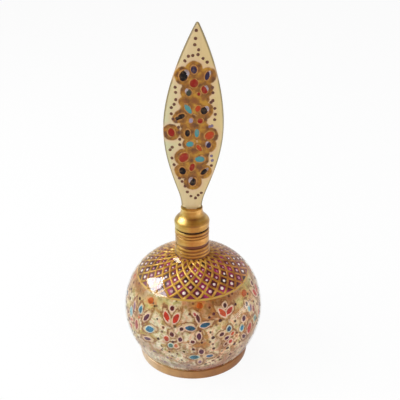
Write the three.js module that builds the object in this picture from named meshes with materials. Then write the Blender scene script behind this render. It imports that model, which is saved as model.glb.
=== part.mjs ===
import * as THREE from 'three';

// A kohl pot: a turned, painted and lacquered bulb on a gilt foot, with a ringed gilt neck,
// and a push-fit stopper whose grip is a flat bone leaf and whose rod puts on the kohl.
// Millimetres, +Z up, origin at the centre of the foot, on the surface it stands on.

// Bulb
const BULB_RADIUS = 28;
const BULB_GIRTH_HEIGHT = 20.8;
const BULB_CROWN = 26.5;
const BULB_CROWN_FULLNESS = 2.24;
const BULB_BELLY_FULLNESS = 1.7;
const BULB_SEAT_STEP = 0.5;
const CHAMBER_WALL = 7;
const CHAMBER_ROOF = 7;
const BASE_DISC_RADIUS = 12.7;
const BASE_DISC_THICKNESS = 3.4;

// Foot
const FOOT_RADIUS = 22.2;
const FOOT_HEIGHT = 3.5;
const FOOT_LEDGE = 1.7;
const FOOT_BULGE = 0.35;

// Neck
const NECK_BORE_RADIUS = 4.3;
const NECK_TUBE_WALL = 1.2;
const NECK_WALL = 1;
const GROOVE_DEPTH = 0.3;
const COLLAR_FLARE = 0.3;
const COLLAR_BEADS = 3;
const COLLAR_BEAD_HEIGHT = 1.4;
const RECESS_DEPTH = 0.5;
const RECESS_HEIGHT = 1.1;
const RING_BAND_HEIGHT = 2.9;
const RING_TAPER = 0.1;
const RING_BEADS = 2;
const RING_BEAD_HEIGHT = 1.35;

// Stopper
const WASHER_THICKNESS = 0.5;
const WASHER_SETBACK = 0.3;
const CAP_OVERHANG = 0.15;
const CAP_TAPER = 0.2;
const CAP_BAND_HEIGHT = 2.5;
const CAP_SHOULDER_HEIGHT = 2.4;
const CAP_SHOULDER_FULLNESS = 1.6;
const COLLET_RADIUS = 4.25;
const COLLET_FLARE = 0.95;
const COLLET_SWEEP = 3;
const COLLET_HEIGHT = 3.5;
const SPIGOT_REACH = 12;
const SPIGOT_GRIP = 2.8;
const ROD_RADIUS = 1.4;
const ROD_GRIP = 7;
const ROD_FLOOR_GAP = 2.5;

// Leaf
const LEAF_LENGTH = 73;
const LEAF_HALF_WIDTH = 11.3;
const LEAF_BELLY_HEIGHT = 33;
const LEAF_STEM_HALF_WIDTH = 3.95;
const LEAF_STEM_HEIGHT = 8.5;
const LEAF_STEM_FLARE = 2.1;
const LEAF_THICKNESS = 4;
const LEAF_BEVEL = 1;
const LEAF_TIP_HALF_WIDTH = 0.45;
const LEAF_TIP_OFFSET = 0.6;
const LEAF_LEAN = THREE.MathUtils.degToRad(1.9);
const TONGUE_LENGTH = 3.4;
const TONGUE_SETBACK = 1.3;

// Clearances, and how finely the curves are cut
const GAP = 0.3;
const SHOULDER_GAP = 0.45;
const WIDE_SIDES = 48;
const NARROW_SIDES = 32;
const ROD_SIDES = 16;
const BULB_STEPS = 9;
const CHAMBER_STEPS = 5;
const SHORT_STEPS = 4;
const LEAF_STEPS = 9;

// Heights and radii that follow from the sizes above
const bulbSeatRadius = FOOT_RADIUS - BULB_SEAT_STEP;
const mouthRadius = BASE_DISC_RADIUS + GAP;
const discTop = FOOT_HEIGHT + BASE_DISC_THICKNESS;
const tubeRadius = NECK_BORE_RADIUS + NECK_TUBE_WALL;
const neckHoleRadius = tubeRadius + GAP;
const neckRadius = neckHoleRadius + NECK_WALL;
const capRadius = neckRadius + CAP_OVERHANG;
const collarRadius = neckRadius + COLLAR_FLARE;
const collarBottom = crownHeight(collarRadius, BULB_RADIUS, BULB_CROWN);
const recessBottom = collarBottom + COLLAR_BEADS * COLLAR_BEAD_HEIGHT;
const collarTop = recessBottom + RECESS_HEIGHT;
const ringBandTop = collarTop + RING_BAND_HEIGHT;
const ringTop = ringBandTop + RING_BEADS * RING_BEAD_HEIGHT;
const capBottom = ringTop + WASHER_THICKNESS;
const capBandTop = capBottom + CAP_BAND_HEIGHT;
const colletBottom = capBandTop + CAP_SHOULDER_HEIGHT;
const capTop = colletBottom + COLLET_HEIGHT;
const spigotRadius = NECK_BORE_RADIUS - GAP;
const spigotBottom = capBottom - SPIGOT_REACH;
const spigotTop = capBottom + SPIGOT_GRIP;
const tongueHalfWidth = LEAF_STEM_HALF_WIDTH - TONGUE_SETBACK;
const tongueCorner = Math.hypot(tongueHalfWidth, (LEAF_THICKNESS - LEAF_BEVEL) / 2);
const leafSocketRadius = tongueCorner + TONGUE_LENGTH * Math.sin(LEAF_LEAN) + GAP;

const paintedWood = new THREE.MeshStandardMaterial({ color: 0xdcc59a, roughness: 0.15, metalness: 0 });
const plainWood = new THREE.MeshStandardMaterial({ color: 0x8a5a34, roughness: 0.7, metalness: 0 });
const giltPaint = new THREE.MeshStandardMaterial({ color: 0xc79a4a, roughness: 0.35, metalness: 0.8 });
const bone = new THREE.MeshStandardMaterial({ color: 0xeadfc8, roughness: 0.4, metalness: 0 });
const leather = new THREE.MeshStandardMaterial({ color: 0x2e1d14, roughness: 0.8, metalness: 0 });

// Height at which the crown over a girth narrows to a radius
function crownHeight(radius, girthRadius, crown) {
  const share = 1 - (radius / girthRadius) ** BULB_CROWN_FULLNESS;
  return BULB_GIRTH_HEIGHT + crown * share ** (1 / BULB_CROWN_FULLNESS);
}

// Evenly spaced shares from 0 to 1
function shares(count) {
  return Array.from({ length: count + 1 }, (_, i) => i / count);
}

// Points from a low radius and height out to the girth, and in again over the crown to a high radius
function bulbCurve(girthRadius, crown, lowRadius, lowHeight, highRadius, count) {
  const bellyPower = 2 / BULB_BELLY_FULLNESS;
  const lowAngle = Math.acos((lowRadius / girthRadius) ** (1 / bellyPower));
  const drop = (BULB_GIRTH_HEIGHT - lowHeight) / Math.sin(lowAngle) ** bellyPower;
  const belly = shares(count).map((share) => {
    const angle = lowAngle * (1 - share);
    const radius = girthRadius * Math.cos(angle) ** bellyPower;
    return [radius, BULB_GIRTH_HEIGHT - drop * Math.sin(angle) ** bellyPower];
  });
  const crownPower = 2 / BULB_CROWN_FULLNESS;
  const highAngle = Math.acos((highRadius / girthRadius) ** (1 / crownPower));
  const over = shares(count).slice(1).map((share) => {
    const angle = highAngle * share;
    const radius = girthRadius * Math.cos(angle) ** crownPower;
    return [radius, BULB_GIRTH_HEIGHT + crown * Math.sin(angle) ** crownPower];
  });
  return [...belly, ...over];
}

// A half-round bead between two heights, standing out from a radius
function bead(radius, low, high, bulge) {
  return shares(SHORT_STEPS).map((share) => [
    radius + bulge * Math.sin(Math.PI * share),
    low + (high - low) * share,
  ]);
}

// A stack of beads from a height upwards, whose crests go evenly from one radius to another
function beads(bottom, count, height, lowCrest, highCrest) {
  const points = [];
  for (let i = 0; i < count; i += 1) {
    const crest = lowCrest + ((highCrest - lowCrest) * i) / Math.max(count - 1, 1);
    const low = bottom + i * height;
    const arc = bead(crest - GROOVE_DEPTH, low, low + height, GROOVE_DEPTH);
    points.push(...(i === 0 ? arc : arc.slice(1)));
  }
  return points;
}

// The outside of a ring, from bottom to top, closed by a straight bore
function withBore(bore, outside) {
  const bottom = outside[0][1];
  const top = outside[outside.length - 1][1];
  return [[bore, bottom], ...outside, [bore, top], [bore, bottom]];
}

// A piece turned on the lathe from its outline of radius and height
function turned(name, outline, material, sides) {
  const points = outline.map(([radius, height]) => new THREE.Vector2(radius, height));
  const geometry = new THREE.LatheGeometry(points, sides);
  geometry.rotateX(Math.PI / 2);
  const mesh = new THREE.Mesh(geometry, material);
  mesh.name = name;
  return mesh;
}

// Hollow bulb, turned out from beneath, with a flat seat for the collar and a hole for the neck tube
function makeBulb() {
  const outside = bulbCurve(
    BULB_RADIUS, BULB_CROWN, bulbSeatRadius, FOOT_HEIGHT, collarRadius, BULB_STEPS,
  );
  const chamberRadius = BULB_RADIUS - CHAMBER_WALL;
  const chamberCrown = BULB_CROWN - CHAMBER_ROOF;
  const chamber = bulbCurve(
    chamberRadius, chamberCrown, mouthRadius, discTop, neckHoleRadius, CHAMBER_STEPS,
  );
  const outline = [
    [mouthRadius, FOOT_HEIGHT],
    ...outside,
    [neckHoleRadius, collarBottom],
    ...chamber.reverse(),
    [mouthRadius, FOOT_HEIGHT],
  ];
  return turned('bulb', outline, paintedWood, WIDE_SIDES);
}

// Disc that closes the chamber; it lies on the ledge inside the foot ring
function makeBaseDisc() {
  const outline = [
    [0, FOOT_HEIGHT], [BASE_DISC_RADIUS, FOOT_HEIGHT], [BASE_DISC_RADIUS, discTop], [0, discTop],
  ];
  return turned('base_disc', outline, plainWood, NARROW_SIDES);
}

// Gilt foot ring with a rounded rim
function makeFootRing() {
  const rim = bead(FOOT_RADIUS - FOOT_BULGE, 0, FOOT_HEIGHT, FOOT_BULGE);
  return turned('foot_ring', withBore(BASE_DISC_RADIUS - FOOT_LEDGE, rim), giltPaint, WIDE_SIDES);
}

// Tube that lines the neck, from the roof of the chamber to the mouth
function makeNeckTube() {
  const tubeBottom = crownHeight(neckHoleRadius, BULB_RADIUS - CHAMBER_WALL, BULB_CROWN - CHAMBER_ROOF);
  const outside = [[tubeRadius, tubeBottom], [tubeRadius, ringTop]];
  return turned('neck_tube', withBore(NECK_BORE_RADIUS, outside), plainWood, NARROW_SIDES);
}

// Lower collar: a stack of beads that flares to the bulb, and a narrow dark recess over them
function makeNeckCollar() {
  const recessRadius = neckRadius - RECESS_DEPTH;
  const outside = [
    ...beads(collarBottom, COLLAR_BEADS, COLLAR_BEAD_HEIGHT, collarRadius, neckRadius),
    [recessRadius, recessBottom],
    [recessRadius, collarTop],
  ];
  return turned('neck_collar', withBore(neckHoleRadius, outside), giltPaint, NARROW_SIDES);
}

// Upper ring: a band that tapers down to the recess, and beads under the mouth
function makeNeckRing() {
  const outside = [
    [neckRadius - RING_TAPER, collarTop],
    [neckRadius - GROOVE_DEPTH / 2, ringBandTop],
    ...beads(ringBandTop, RING_BEADS, RING_BEAD_HEIGHT, neckRadius, neckRadius),
  ];
  return turned('neck_ring', withBore(neckHoleRadius, outside), giltPaint, NARROW_SIDES);
}

// Thin leather washer between the mouth and the stopper
function makeSealWasher() {
  const washerRadius = neckRadius - GROOVE_DEPTH - WASHER_SETBACK;
  const outside = [[washerRadius, ringTop], [washerRadius, capBottom]];
  return turned('seal_washer', withBore(NECK_BORE_RADIUS, outside), leather, NARROW_SIDES);
}

// Gilt cap: a band, a domed shoulder and a waisted collet, with a socket below for the spigot
// and one above for the leaf
function makeStopperCap() {
  const colletFootRadius = COLLET_RADIUS + COLLET_FLARE;
  const shoulder = shares(SHORT_STEPS).map((share) => [
    capRadius - (capRadius - colletFootRadius) * share ** CAP_SHOULDER_FULLNESS,
    capBandTop + CAP_SHOULDER_HEIGHT * share,
  ]);
  const collet = shares(SHORT_STEPS).slice(1).map((share) => [
    COLLET_RADIUS + COLLET_FLARE * (1 - share) ** COLLET_SWEEP,
    colletBottom + COLLET_HEIGHT * share,
  ]);
  const spigotSocketRadius = spigotRadius + GAP;
  const spigotSocketTop = spigotTop + GAP;
  const leafSocketBottom = capTop - TONGUE_LENGTH - GAP;
  const outline = [
    [0, spigotSocketTop],
    [spigotSocketRadius, spigotSocketTop],
    [spigotSocketRadius, capBottom],
    [capRadius - CAP_TAPER - GROOVE_DEPTH, capBottom],
    [capRadius - CAP_TAPER, capBottom + GROOVE_DEPTH],
    ...shoulder,
    ...collet,
    [leafSocketRadius, capTop],
    [leafSocketRadius, leafSocketBottom],
    [0, leafSocketBottom],
  ];
  return turned('stopper_cap', outline, giltPaint, NARROW_SIDES);
}

// Spigot that pushes into the neck, set in the cap, with a blind hole for the rod
function makeSpigot() {
  const holeRadius = ROD_RADIUS + GAP;
  const holeTop = spigotBottom + ROD_GRIP + GAP;
  const outline = [
    [0, holeTop],
    [holeRadius, holeTop],
    [holeRadius, spigotBottom],
    [spigotRadius, spigotBottom],
    [spigotRadius, spigotTop],
    [0, spigotTop],
  ];
  return turned('spigot', outline, bone, NARROW_SIDES);
}

// Kohl rod with a rounded tip, just clear of the chamber floor
function makeApplicatorRod() {
  const tipBottom = discTop + ROD_FLOOR_GAP;
  const rodTop = spigotBottom + ROD_GRIP;
  const tip = shares(SHORT_STEPS).map((share) => {
    const angle = share * Math.PI / 2;
    return [ROD_RADIUS * Math.sin(angle), tipBottom + ROD_RADIUS * (1 - Math.cos(angle))];
  });
  return turned('applicator_rod', [...tip, [ROD_RADIUS, rodTop], [0, rodTop]], bone, ROD_SIDES);
}

// One edge of the leaf, up from the stem to the tip: a short waist, a full belly and a long taper.
// Side is 1 for the right edge and -1 for the left.
function leafEdge(side) {
  const stemTopHalfWidth = LEAF_STEM_HALF_WIDTH + LEAF_STEM_FLARE;
  const tipX = LEAF_TIP_OFFSET + side * LEAF_TIP_HALF_WIDTH;
  const point = (x, height) => new THREE.Vector2(x, height);
  const taper = LEAF_LENGTH - LEAF_BELLY_HEIGHT;
  const rise = LEAF_BELLY_HEIGHT - LEAF_STEM_HEIGHT;
  const parts = [
    new THREE.CubicBezierCurve(
      point(side * LEAF_STEM_HALF_WIDTH, 0),
      point(side * LEAF_STEM_HALF_WIDTH, 0.35 * LEAF_STEM_HEIGHT),
      point(side * (stemTopHalfWidth - 0.55 * LEAF_STEM_FLARE), 0.63 * LEAF_STEM_HEIGHT),
      point(side * stemTopHalfWidth, LEAF_STEM_HEIGHT),
    ),
    new THREE.CubicBezierCurve(
      point(side * stemTopHalfWidth, LEAF_STEM_HEIGHT),
      point(side * (stemTopHalfWidth + LEAF_STEM_FLARE), LEAF_STEM_HEIGHT + 0.24 * rise),
      point(side * LEAF_HALF_WIDTH, LEAF_STEM_HEIGHT + 0.59 * rise),
      point(side * LEAF_HALF_WIDTH, LEAF_BELLY_HEIGHT),
    ),
    new THREE.CubicBezierCurve(
      point(side * LEAF_HALF_WIDTH, LEAF_BELLY_HEIGHT),
      point(side * LEAF_HALF_WIDTH, LEAF_BELLY_HEIGHT + 0.3 * taper),
      point(tipX + side * 0.6 * LEAF_HALF_WIDTH, LEAF_BELLY_HEIGHT + 0.65 * taper),
      point(tipX, LEAF_LENGTH),
    ),
  ];
  return parts.flatMap((part, i) => part.getPoints(LEAF_STEPS).slice(i === 0 ? 0 : 1));
}

// Flat bone leaf with bevelled edges and a tongue for the collet, leaning a little to one side
function makeLeaf() {
  const tongueEnd = -TONGUE_LENGTH - SHOULDER_GAP;
  const shape = new THREE.Shape([
    new THREE.Vector2(-tongueHalfWidth, tongueEnd),
    new THREE.Vector2(tongueHalfWidth, tongueEnd),
    new THREE.Vector2(tongueHalfWidth, 0),
    ...leafEdge(1),
    ...leafEdge(-1).reverse(),
    new THREE.Vector2(-tongueHalfWidth, 0),
  ]);
  const geometry = new THREE.ExtrudeGeometry(shape, {
    depth: LEAF_THICKNESS - 2 * LEAF_BEVEL,
    bevelEnabled: true,
    bevelThickness: LEAF_BEVEL,
    bevelSize: LEAF_BEVEL / 2,
    bevelOffset: -LEAF_BEVEL / 2,
    bevelSegments: 1,
  });
  geometry.translate(0, 0, LEAF_BEVEL - LEAF_THICKNESS / 2);
  geometry.rotateX(Math.PI / 2);
  const mesh = new THREE.Mesh(geometry, bone);
  mesh.name = 'leaf_blade';
  mesh.rotation.y = LEAF_LEAN;
  mesh.position.z = capTop + SHOULDER_GAP;
  return mesh;
}

const pot = new THREE.Group();
pot.add(
  makeFootRing(), makeBaseDisc(), makeBulb(), makeNeckTube(), makeNeckCollar(), makeNeckRing(),
  makeSealWasher(), makeStopperCap(), makeSpigot(), makeApplicatorRod(), makeLeaf(),
);

export default pot;
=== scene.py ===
import math

import bpy
import numpy as np
from mathutils import Matrix, Vector


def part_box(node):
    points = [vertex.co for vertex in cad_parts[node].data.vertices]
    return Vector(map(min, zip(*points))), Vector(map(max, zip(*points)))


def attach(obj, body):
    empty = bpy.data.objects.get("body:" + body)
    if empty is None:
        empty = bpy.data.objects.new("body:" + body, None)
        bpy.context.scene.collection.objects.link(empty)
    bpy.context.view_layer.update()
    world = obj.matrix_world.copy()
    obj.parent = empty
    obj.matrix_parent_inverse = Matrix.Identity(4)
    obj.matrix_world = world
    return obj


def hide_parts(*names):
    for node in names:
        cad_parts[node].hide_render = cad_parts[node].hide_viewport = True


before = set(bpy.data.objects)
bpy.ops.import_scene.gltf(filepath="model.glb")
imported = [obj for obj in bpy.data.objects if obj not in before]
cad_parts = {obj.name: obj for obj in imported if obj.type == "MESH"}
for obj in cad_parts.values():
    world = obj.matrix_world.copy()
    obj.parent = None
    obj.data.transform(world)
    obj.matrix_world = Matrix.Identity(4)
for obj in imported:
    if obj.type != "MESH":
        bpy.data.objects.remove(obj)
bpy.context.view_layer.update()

# Foot ring
# A low ring of turned wood under satin gold paint. The bulb is glued on top of it, and the pot
# stands on its flat underside.
MM = 0.001
FOOT_BULGE = 0.35
FOOT_EDGE = 0.4
FOOT_SIDES = 192
FOOT_BORE = 11.0
RIM_STEPS = 10
GOLD_PALE = "#E8CC80"
GOLD = "#CC9C3A"
GOLD_BROWN = "#9C6A1E"
GROOVE_VARNISH_AND_SHADE = "#6E2E00"


def linear(code):
    """An sRGB hex colour as the linear colour that a node takes."""
    channels = [int(code[i:i + 2], 16) / 255 for i in (1, 3, 5)]
    return [c / 12.92 if c <= 0.04045 else ((c + 0.055) / 1.055) ** 2.4 for c in channels] + [1.0]


def add(tree, kind, inputs=None, stops=(), **settings):
    """Adds a node with its settings. An input, by name or number, takes a value or a socket."""
    node = tree.nodes.new(kind)
    for key, value in settings.items():
        setattr(node, key, value)
    for key, value in (inputs or {}).items():
        if isinstance(value, bpy.types.NodeSocket):
            tree.links.new(value, node.inputs[key])
        else:
            node.inputs[key].default_value = value
    for i, (place, code) in enumerate(stops):
        elements = node.color_ramp.elements
        element = elements[i] if i < len(elements) else elements.new(place)
        element.position = place
        element.color = linear(code)
    return node


def new_material(name):
    """A material with an empty node tree and its output."""
    material = bpy.data.materials.new(name)
    material.use_nodes = True
    tree = material.node_tree
    tree.nodes.clear()
    return material, tree, add(tree, "ShaderNodeOutputMaterial")


def new_piece(name, vertices, faces, *materials):
    """A smooth mesh object at the origin, with its sharp corners kept."""
    mesh = bpy.data.meshes.new(name)
    mesh.from_pydata(vertices, [], faces)
    mesh.shade_smooth()
    mesh.set_sharp_from_angle(angle=math.radians(38))
    for material in materials:
        mesh.materials.append(material)
    piece = bpy.data.objects.new(name, mesh)
    bpy.context.scene.collection.objects.link(piece)
    return piece


def eased(*corners):
    """An outline in metres from corners (radius, height, rounding) in millimetres."""
    points = []
    for i, (radius, height, ease) in enumerate(corners):
        here = Vector((radius, height))
        before = Vector(corners[i - 1][:2]) - here
        after = Vector(corners[(i + 1) % len(corners)][:2]) - here
        shares = [k / 4 for k in range(5)] if ease else [0.5]
        for t in shares:
            point = here.copy()
            if ease:
                point += before.normalized() * ease * (1 - t) ** 2
                point += after.normalized() * ease * t ** 2
            points.append((point.x * MM, point.y * MM))
    return points


def turned(name, outline, sides, *materials, grooves=None):
    """A solid turned from an outline of (radius, height) that runs up on its outside."""
    vertices, rows = [], []
    for radius, height in outline:
        start = len(vertices)
        if radius == 0:
            rows.append([start] * sides)
            vertices.append((0, 0, height))
            continue
        rows.append(list(range(start, start + sides)))
        for i in range(sides):
            angle = 2 * math.pi * i / sides
            vertices.append((radius * math.cos(angle), radius * math.sin(angle), height))
    closing = [] if outline[0][0] == 0 else rows[:1]
    faces = []
    for low, high in zip(rows, rows[1:] + closing):
        for i in range(sides):
            j = (i + 1) % sides
            faces.append(list(dict.fromkeys((low[i], low[j], high[j], high[i]))))
    piece = new_piece(name, vertices, faces, *materials)
    if grooves:
        depth = piece.data.attributes.new("groove", "FLOAT", "POINT")
        each = [grooves[k] for k, row in enumerate(rows) for _ in set(row)]
        depth.data.foreach_set("value", each)
    return piece


def bead(radius, low, high, bulge, steps=8):
    """Points up the outside of a half-round bead, in millimetres."""
    shares = [k / steps for k in range(steps + 1)]
    return [(radius + bulge * math.sin(math.pi * t), low + (high - low) * t) for t in shares]


# Bronze powder in varnish, brushed on while the piece still turned on the lathe: a satin metal
# with fine rings of brush marks round the axis, and brown old varnish left in the grooves. The dark
# in the grooves is also painted shade, faint on the -X side where the window light falls, and the
# tint across the rings is painted light: greenish on -X, deeper orange in the middle.
gilt, tree, output = new_material("bronze_powder_gilding")
place = add(tree, "ShaderNodeTexCoord").outputs["Object"]
rings = add(tree, "ShaderNodeMapping", {"Vector": place, "Scale": (90, 90, 1100)})
brush = add(tree, "ShaderNodeTexNoise", {"Vector": rings.outputs[0], "Scale": 1.0, "Detail": 3.0})
cloud = add(tree, "ShaderNodeTexNoise", {"Vector": place, "Scale": 260.0, "Detail": 4.0})
tone = add(tree, "ShaderNodeMath", {0: brush.outputs["Fac"], 1: cloud.outputs["Fac"]}, operation="ADD")
half = add(tree, "ShaderNodeMath", {0: tone.outputs[0], 1: 0.5}, operation="MULTIPLY")
colour = add(tree, "ShaderNodeValToRGB", {0: half.outputs[0]},
             stops=((0.3, GOLD_BROWN), (0.5, GOLD), (0.72, GOLD_PALE)))
depth = add(tree, "ShaderNodeAttribute", attribute_name="groove")
parts = add(tree, "ShaderNodeSeparateXYZ", {0: place})
# Painted shade in the grooves: the groove colour is kept faint on the -X side, where the window light falls, and full
# from the middle to +X.
groove_shade_by_side = add(tree, "ShaderNodeMapRange", {0: parts.outputs["X"], 1: -0.0065, 2: -0.002, 3: 0.12})
varnish_and_shade_in_grooves = add(tree, "ShaderNodeMath", {0: depth.outputs["Fac"], 1: groove_shade_by_side.outputs[0]}, operation="MULTIPLY")
wear_and_shade = add(tree, "ShaderNodeMix", {0: varnish_and_shade_in_grooves.outputs[0], 6: colour.outputs[0], 7: linear(GROOVE_VARNISH_AND_SHADE)},
           data_type="RGBA")
shine = add(tree, "ShaderNodeMapRange", {0: cloud.outputs["Fac"], 3: 0.3, 4: 0.48})
relief = add(tree, "ShaderNodeBump", {"Strength": 0.15, "Distance": 0.00005, "Height": brush.outputs["Fac"]})
# Painted light across the gilding: greenish and pale on the -X side facing the window, deeper orange in the middle,
# little change at +X.
side = add(tree, "ShaderNodeMapRange", {0: parts.outputs["X"], 1: -0.007, 2: 0.007})
side_light_tint = add(tree, "ShaderNodeValToRGB", {0: side.outputs[0]}, stops=(
    (0.05, "#EAFFF2"), (0.28, "#F4F8E0"), (0.5, "#F0CEA2"), (0.8, "#F8EAD0"), (1.0, "#FFFAEE")))
side_lit_tone = add(tree, "ShaderNodeMix", {0: 1.0, 6: wear_and_shade.outputs[2], 7: side_light_tint.outputs[0]}, data_type="RGBA",
           blend_type="MULTIPLY")
# The rings below the stopper are tinted redder
below = add(tree, "ShaderNodeMapRange", {0: parts.outputs["Z"], 1: 0.0575, 2: 0.057})
redder = add(tree, "ShaderNodeMix", {0: below.outputs[0], 6: side_lit_tone.outputs[2], 7: linear("#FBEAD8")},
             data_type="RGBA", blend_type="MULTIPLY")
metal = add(tree, "ShaderNodeBsdfPrincipled", {
    "Base Color": redder.outputs[2], "Metallic": 0.6, "Roughness": shine.outputs[0], "Normal": relief.outputs[0],
    "Coat Weight": 0.6, "Coat Roughness": 0.3})
tree.links.new(metal.outputs[0], output.inputs[0])

# The same gilding worn by handling and varnished over: rosy brown, with painted light and shade
# across it, pale on the -X side where the window light falls and dark brown on the +X side.
worn_gilt, tree, output = new_material("worn_varnished_gilding")
place = add(tree, "ShaderNodeTexCoord").outputs["Object"]
parts = add(tree, "ShaderNodeSeparateXYZ", {0: place})
# Painted light and shade by X: pale on -X, dark brown on +X.
side = add(tree, "ShaderNodeMapRange", {0: parts.outputs["X"], 1: -0.022, 2: 0.022})
side_light_tint = add(tree, "ShaderNodeValToRGB", {0: side.outputs[0]}, stops=(
    (0.0, "#DCC8A8"), (0.22, "#C89E66"), (0.5, "#B68048"), (1.0, "#98602E")))
cloud = add(tree, "ShaderNodeTexNoise", {"Vector": place, "Scale": 240.0, "Detail": 3.0})
rub = add(tree, "ShaderNodeMapRange", {0: cloud.outputs["Fac"], 1: 0.4, 2: 0.7, 4: 0.5})
rubbed = add(tree, "ShaderNodeMix", {0: rub.outputs[0], 6: side_light_tint.outputs[0], 7: linear("#8E5A3A")}, data_type="RGBA")
varnished = add(tree, "ShaderNodeBsdfPrincipled", {
    "Base Color": rubbed.outputs[2], "Metallic": 0.25, "Roughness": 0.4, "Coat Weight": 0.25, "Coat Roughness": 0.2})
tree.links.new(varnished.outputs[0], output.inputs[0])

foot_low, foot_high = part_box("foot_ring")
foot_radius = foot_high.x / MM
foot_top = foot_high.z / MM
rim = bead(foot_radius - FOOT_BULGE, 0, foot_top, FOOT_BULGE, RIM_STEPS)
foot = turned("foot_ring_gilded", eased(
    (FOOT_BORE, 0, FOOT_EDGE), (rim[0][0], 0, 0.2), *[(r, z, 0) for r, z in rim[1:-1]],
    (rim[-1][0], foot_top, 0.2), (FOOT_BORE, foot_top, FOOT_EDGE)), FOOT_SIDES, worn_gilt)
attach(foot, "pot")
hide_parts("foot_ring")

# Base disc
# A plain disc of turned wood, glued onto the ledge inside the foot ring. It closes the kohl
# chamber, and only its underside shows.
WOOD_PALE = "#A8744A"
WOOD_DARK = "#6E4326"

# Mango wood, turned and left bare: close growth rings about 1.2 mm apart and short dark pores.
bare_wood, tree, output = new_material("turned_mango_wood")
place = add(tree, "ShaderNodeTexCoord").outputs["Object"]
heart = add(tree, "ShaderNodeMapping", {"Vector": place, "Location": (0.011, 0.004, 0), "Scale": (1, 1, 0.12)})
growth = add(tree, "ShaderNodeTexWave", {"Vector": heart.outputs[0], "Scale": 130.0, "Distortion": 3.5,
                                         "Detail": 2.0, "Detail Scale": 0.6},
             wave_type="RINGS", rings_direction="Z")
fibre = add(tree, "ShaderNodeMapping", {"Vector": place, "Scale": (2600, 2600, 260)})
pores = add(tree, "ShaderNodeTexNoise", {"Vector": fibre.outputs[0], "Scale": 1.0, "Detail": 2.0})
mixed = add(tree, "ShaderNodeMath", {0: growth.outputs["Fac"], 1: pores.outputs["Fac"]}, operation="MULTIPLY")
colour = add(tree, "ShaderNodeValToRGB", {0: mixed.outputs[0]}, stops=((0.05, WOOD_DARK), (0.5, WOOD_PALE)))
relief = add(tree, "ShaderNodeBump", {"Strength": 0.3, "Distance": 0.0001, "Height": pores.outputs["Fac"]})
fibres = add(tree, "ShaderNodeBsdfPrincipled", {
    "Base Color": colour.outputs[0], "Roughness": 0.62, "Normal": relief.outputs[0]})
tree.links.new(fibres.outputs[0], output.inputs[0])

disc_low, disc_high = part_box("base_disc")
disc_radius = disc_high.x / MM
disc = turned("base_disc_turned", eased(
    (0, disc_low.z / MM, 0), (disc_radius, disc_low.z / MM, 0.3),
    (disc_radius, disc_high.z / MM, 0.3), (0, disc_high.z / MM, 0)), 96, bare_wood)
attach(disc, "pot")
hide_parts("base_disc")

# Bulb
# A hollow bulb of turned wood, chalked, painted by hand in water colours round its outside and
# left bare inside. The paint lies under half a millimetre of clear lacquer.
BULB_GIRTH_HEIGHT = 20.8
BULB_CROWN = 26.5
BULB_CROWN_FULLNESS = 2.24
BULB_BELLY_FULLNESS = 1.7
BULB_SEAT_STEP = 0.5
COLLAR_RADIUS = 7.1
CHAMBER_WALL = 7
CHAMBER_ROOF = 7
LACQUER_DEPTH = 0.5
BULB_SIDES = 384
BULB_STEPS = 128
SHOULDER_HEIGHT = 38.0
NECK_HOLE = 5.8
PLUM_GROUND = "#741630"
PLUM_DARK = "#360A0C"
PLUM_BRIGHT = "#AA2468"

bulb_low, bulb_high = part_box("bulb")
bulb_radius = bulb_high.x / MM
seat_radius = foot_radius - BULB_SEAT_STEP
disc_top = disc_high.z / MM


def bulb_curve(girth, crown, low_radius, low_height, high_radius, steps):
    """Points in millimetres from a seat out to the girth and in again over the crown."""
    belly_power = 2 / BULB_BELLY_FULLNESS
    crown_power = 2 / BULB_CROWN_FULLNESS
    low_angle = math.acos((low_radius / girth) ** (1 / belly_power))
    high_angle = math.acos((high_radius / girth) ** (1 / crown_power))
    drop = (BULB_GIRTH_HEIGHT - low_height) / math.sin(low_angle) ** belly_power
    points = []
    for k in range(-steps, steps + 1):
        share = abs(k) / steps
        angle = share * (low_angle if k < 0 else high_angle)
        power = belly_power if k < 0 else crown_power
        rise = -drop if k < 0 else crown
        height = BULB_GIRTH_HEIGHT + rise * math.sin(angle) ** power
        points.append((girth * math.cos(angle) ** power, height))
    return points


# The outside in even steps, with the direction that faces out at each step
curve = np.array(bulb_curve(bulb_radius, BULB_CROWN, seat_radius, foot_top, COLLAR_RADIUS, 400))
runs = np.concatenate([[0], np.cumsum(np.hypot(*np.diff(curve, axis=0).T))])
walk = np.linspace(0, runs[-1], 601)
outside = np.stack([np.interp(walk, runs, curve[:, 0]), np.interp(walk, runs, curve[:, 1])], 1)
along = np.gradient(outside, walk, axis=0)
along /= np.linalg.norm(along, axis=1, keepdims=True)
facing_out = np.stack([along[:, 1], -along[:, 0]], 1)


def sunk(depth, start=0.0, end=runs[-1], steps=BULB_STEPS):
    """Points (radius, height) in metres at a depth under the bulb's outside, from start to end along it."""
    line = outside - depth * facing_out
    at = np.linspace(start, end, steps + 1)
    return [(np.interp(s, walk, line[:, 0]) * MM, np.interp(s, walk, line[:, 1]) * MM) for s in at]


painted_line = sunk(LACQUER_DEPTH)
chamber = bulb_curve(bulb_radius - CHAMBER_WALL, BULB_CROWN - CHAMBER_ROOF, disc_radius + 0.3, disc_top, NECK_HOLE, 12)
bulb_top = bulb_high.z
bulb_outline = [
    ((disc_radius + 0.3) * MM, foot_high.z),
    (painted_line[0][0], foot_high.z),
    *painted_line,
    (painted_line[-1][0] - 0.2 * MM, bulb_top),
    (NECK_HOLE * MM, bulb_top),
    *[(r * MM, z * MM) for r, z in reversed(chamber)],
]

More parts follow.
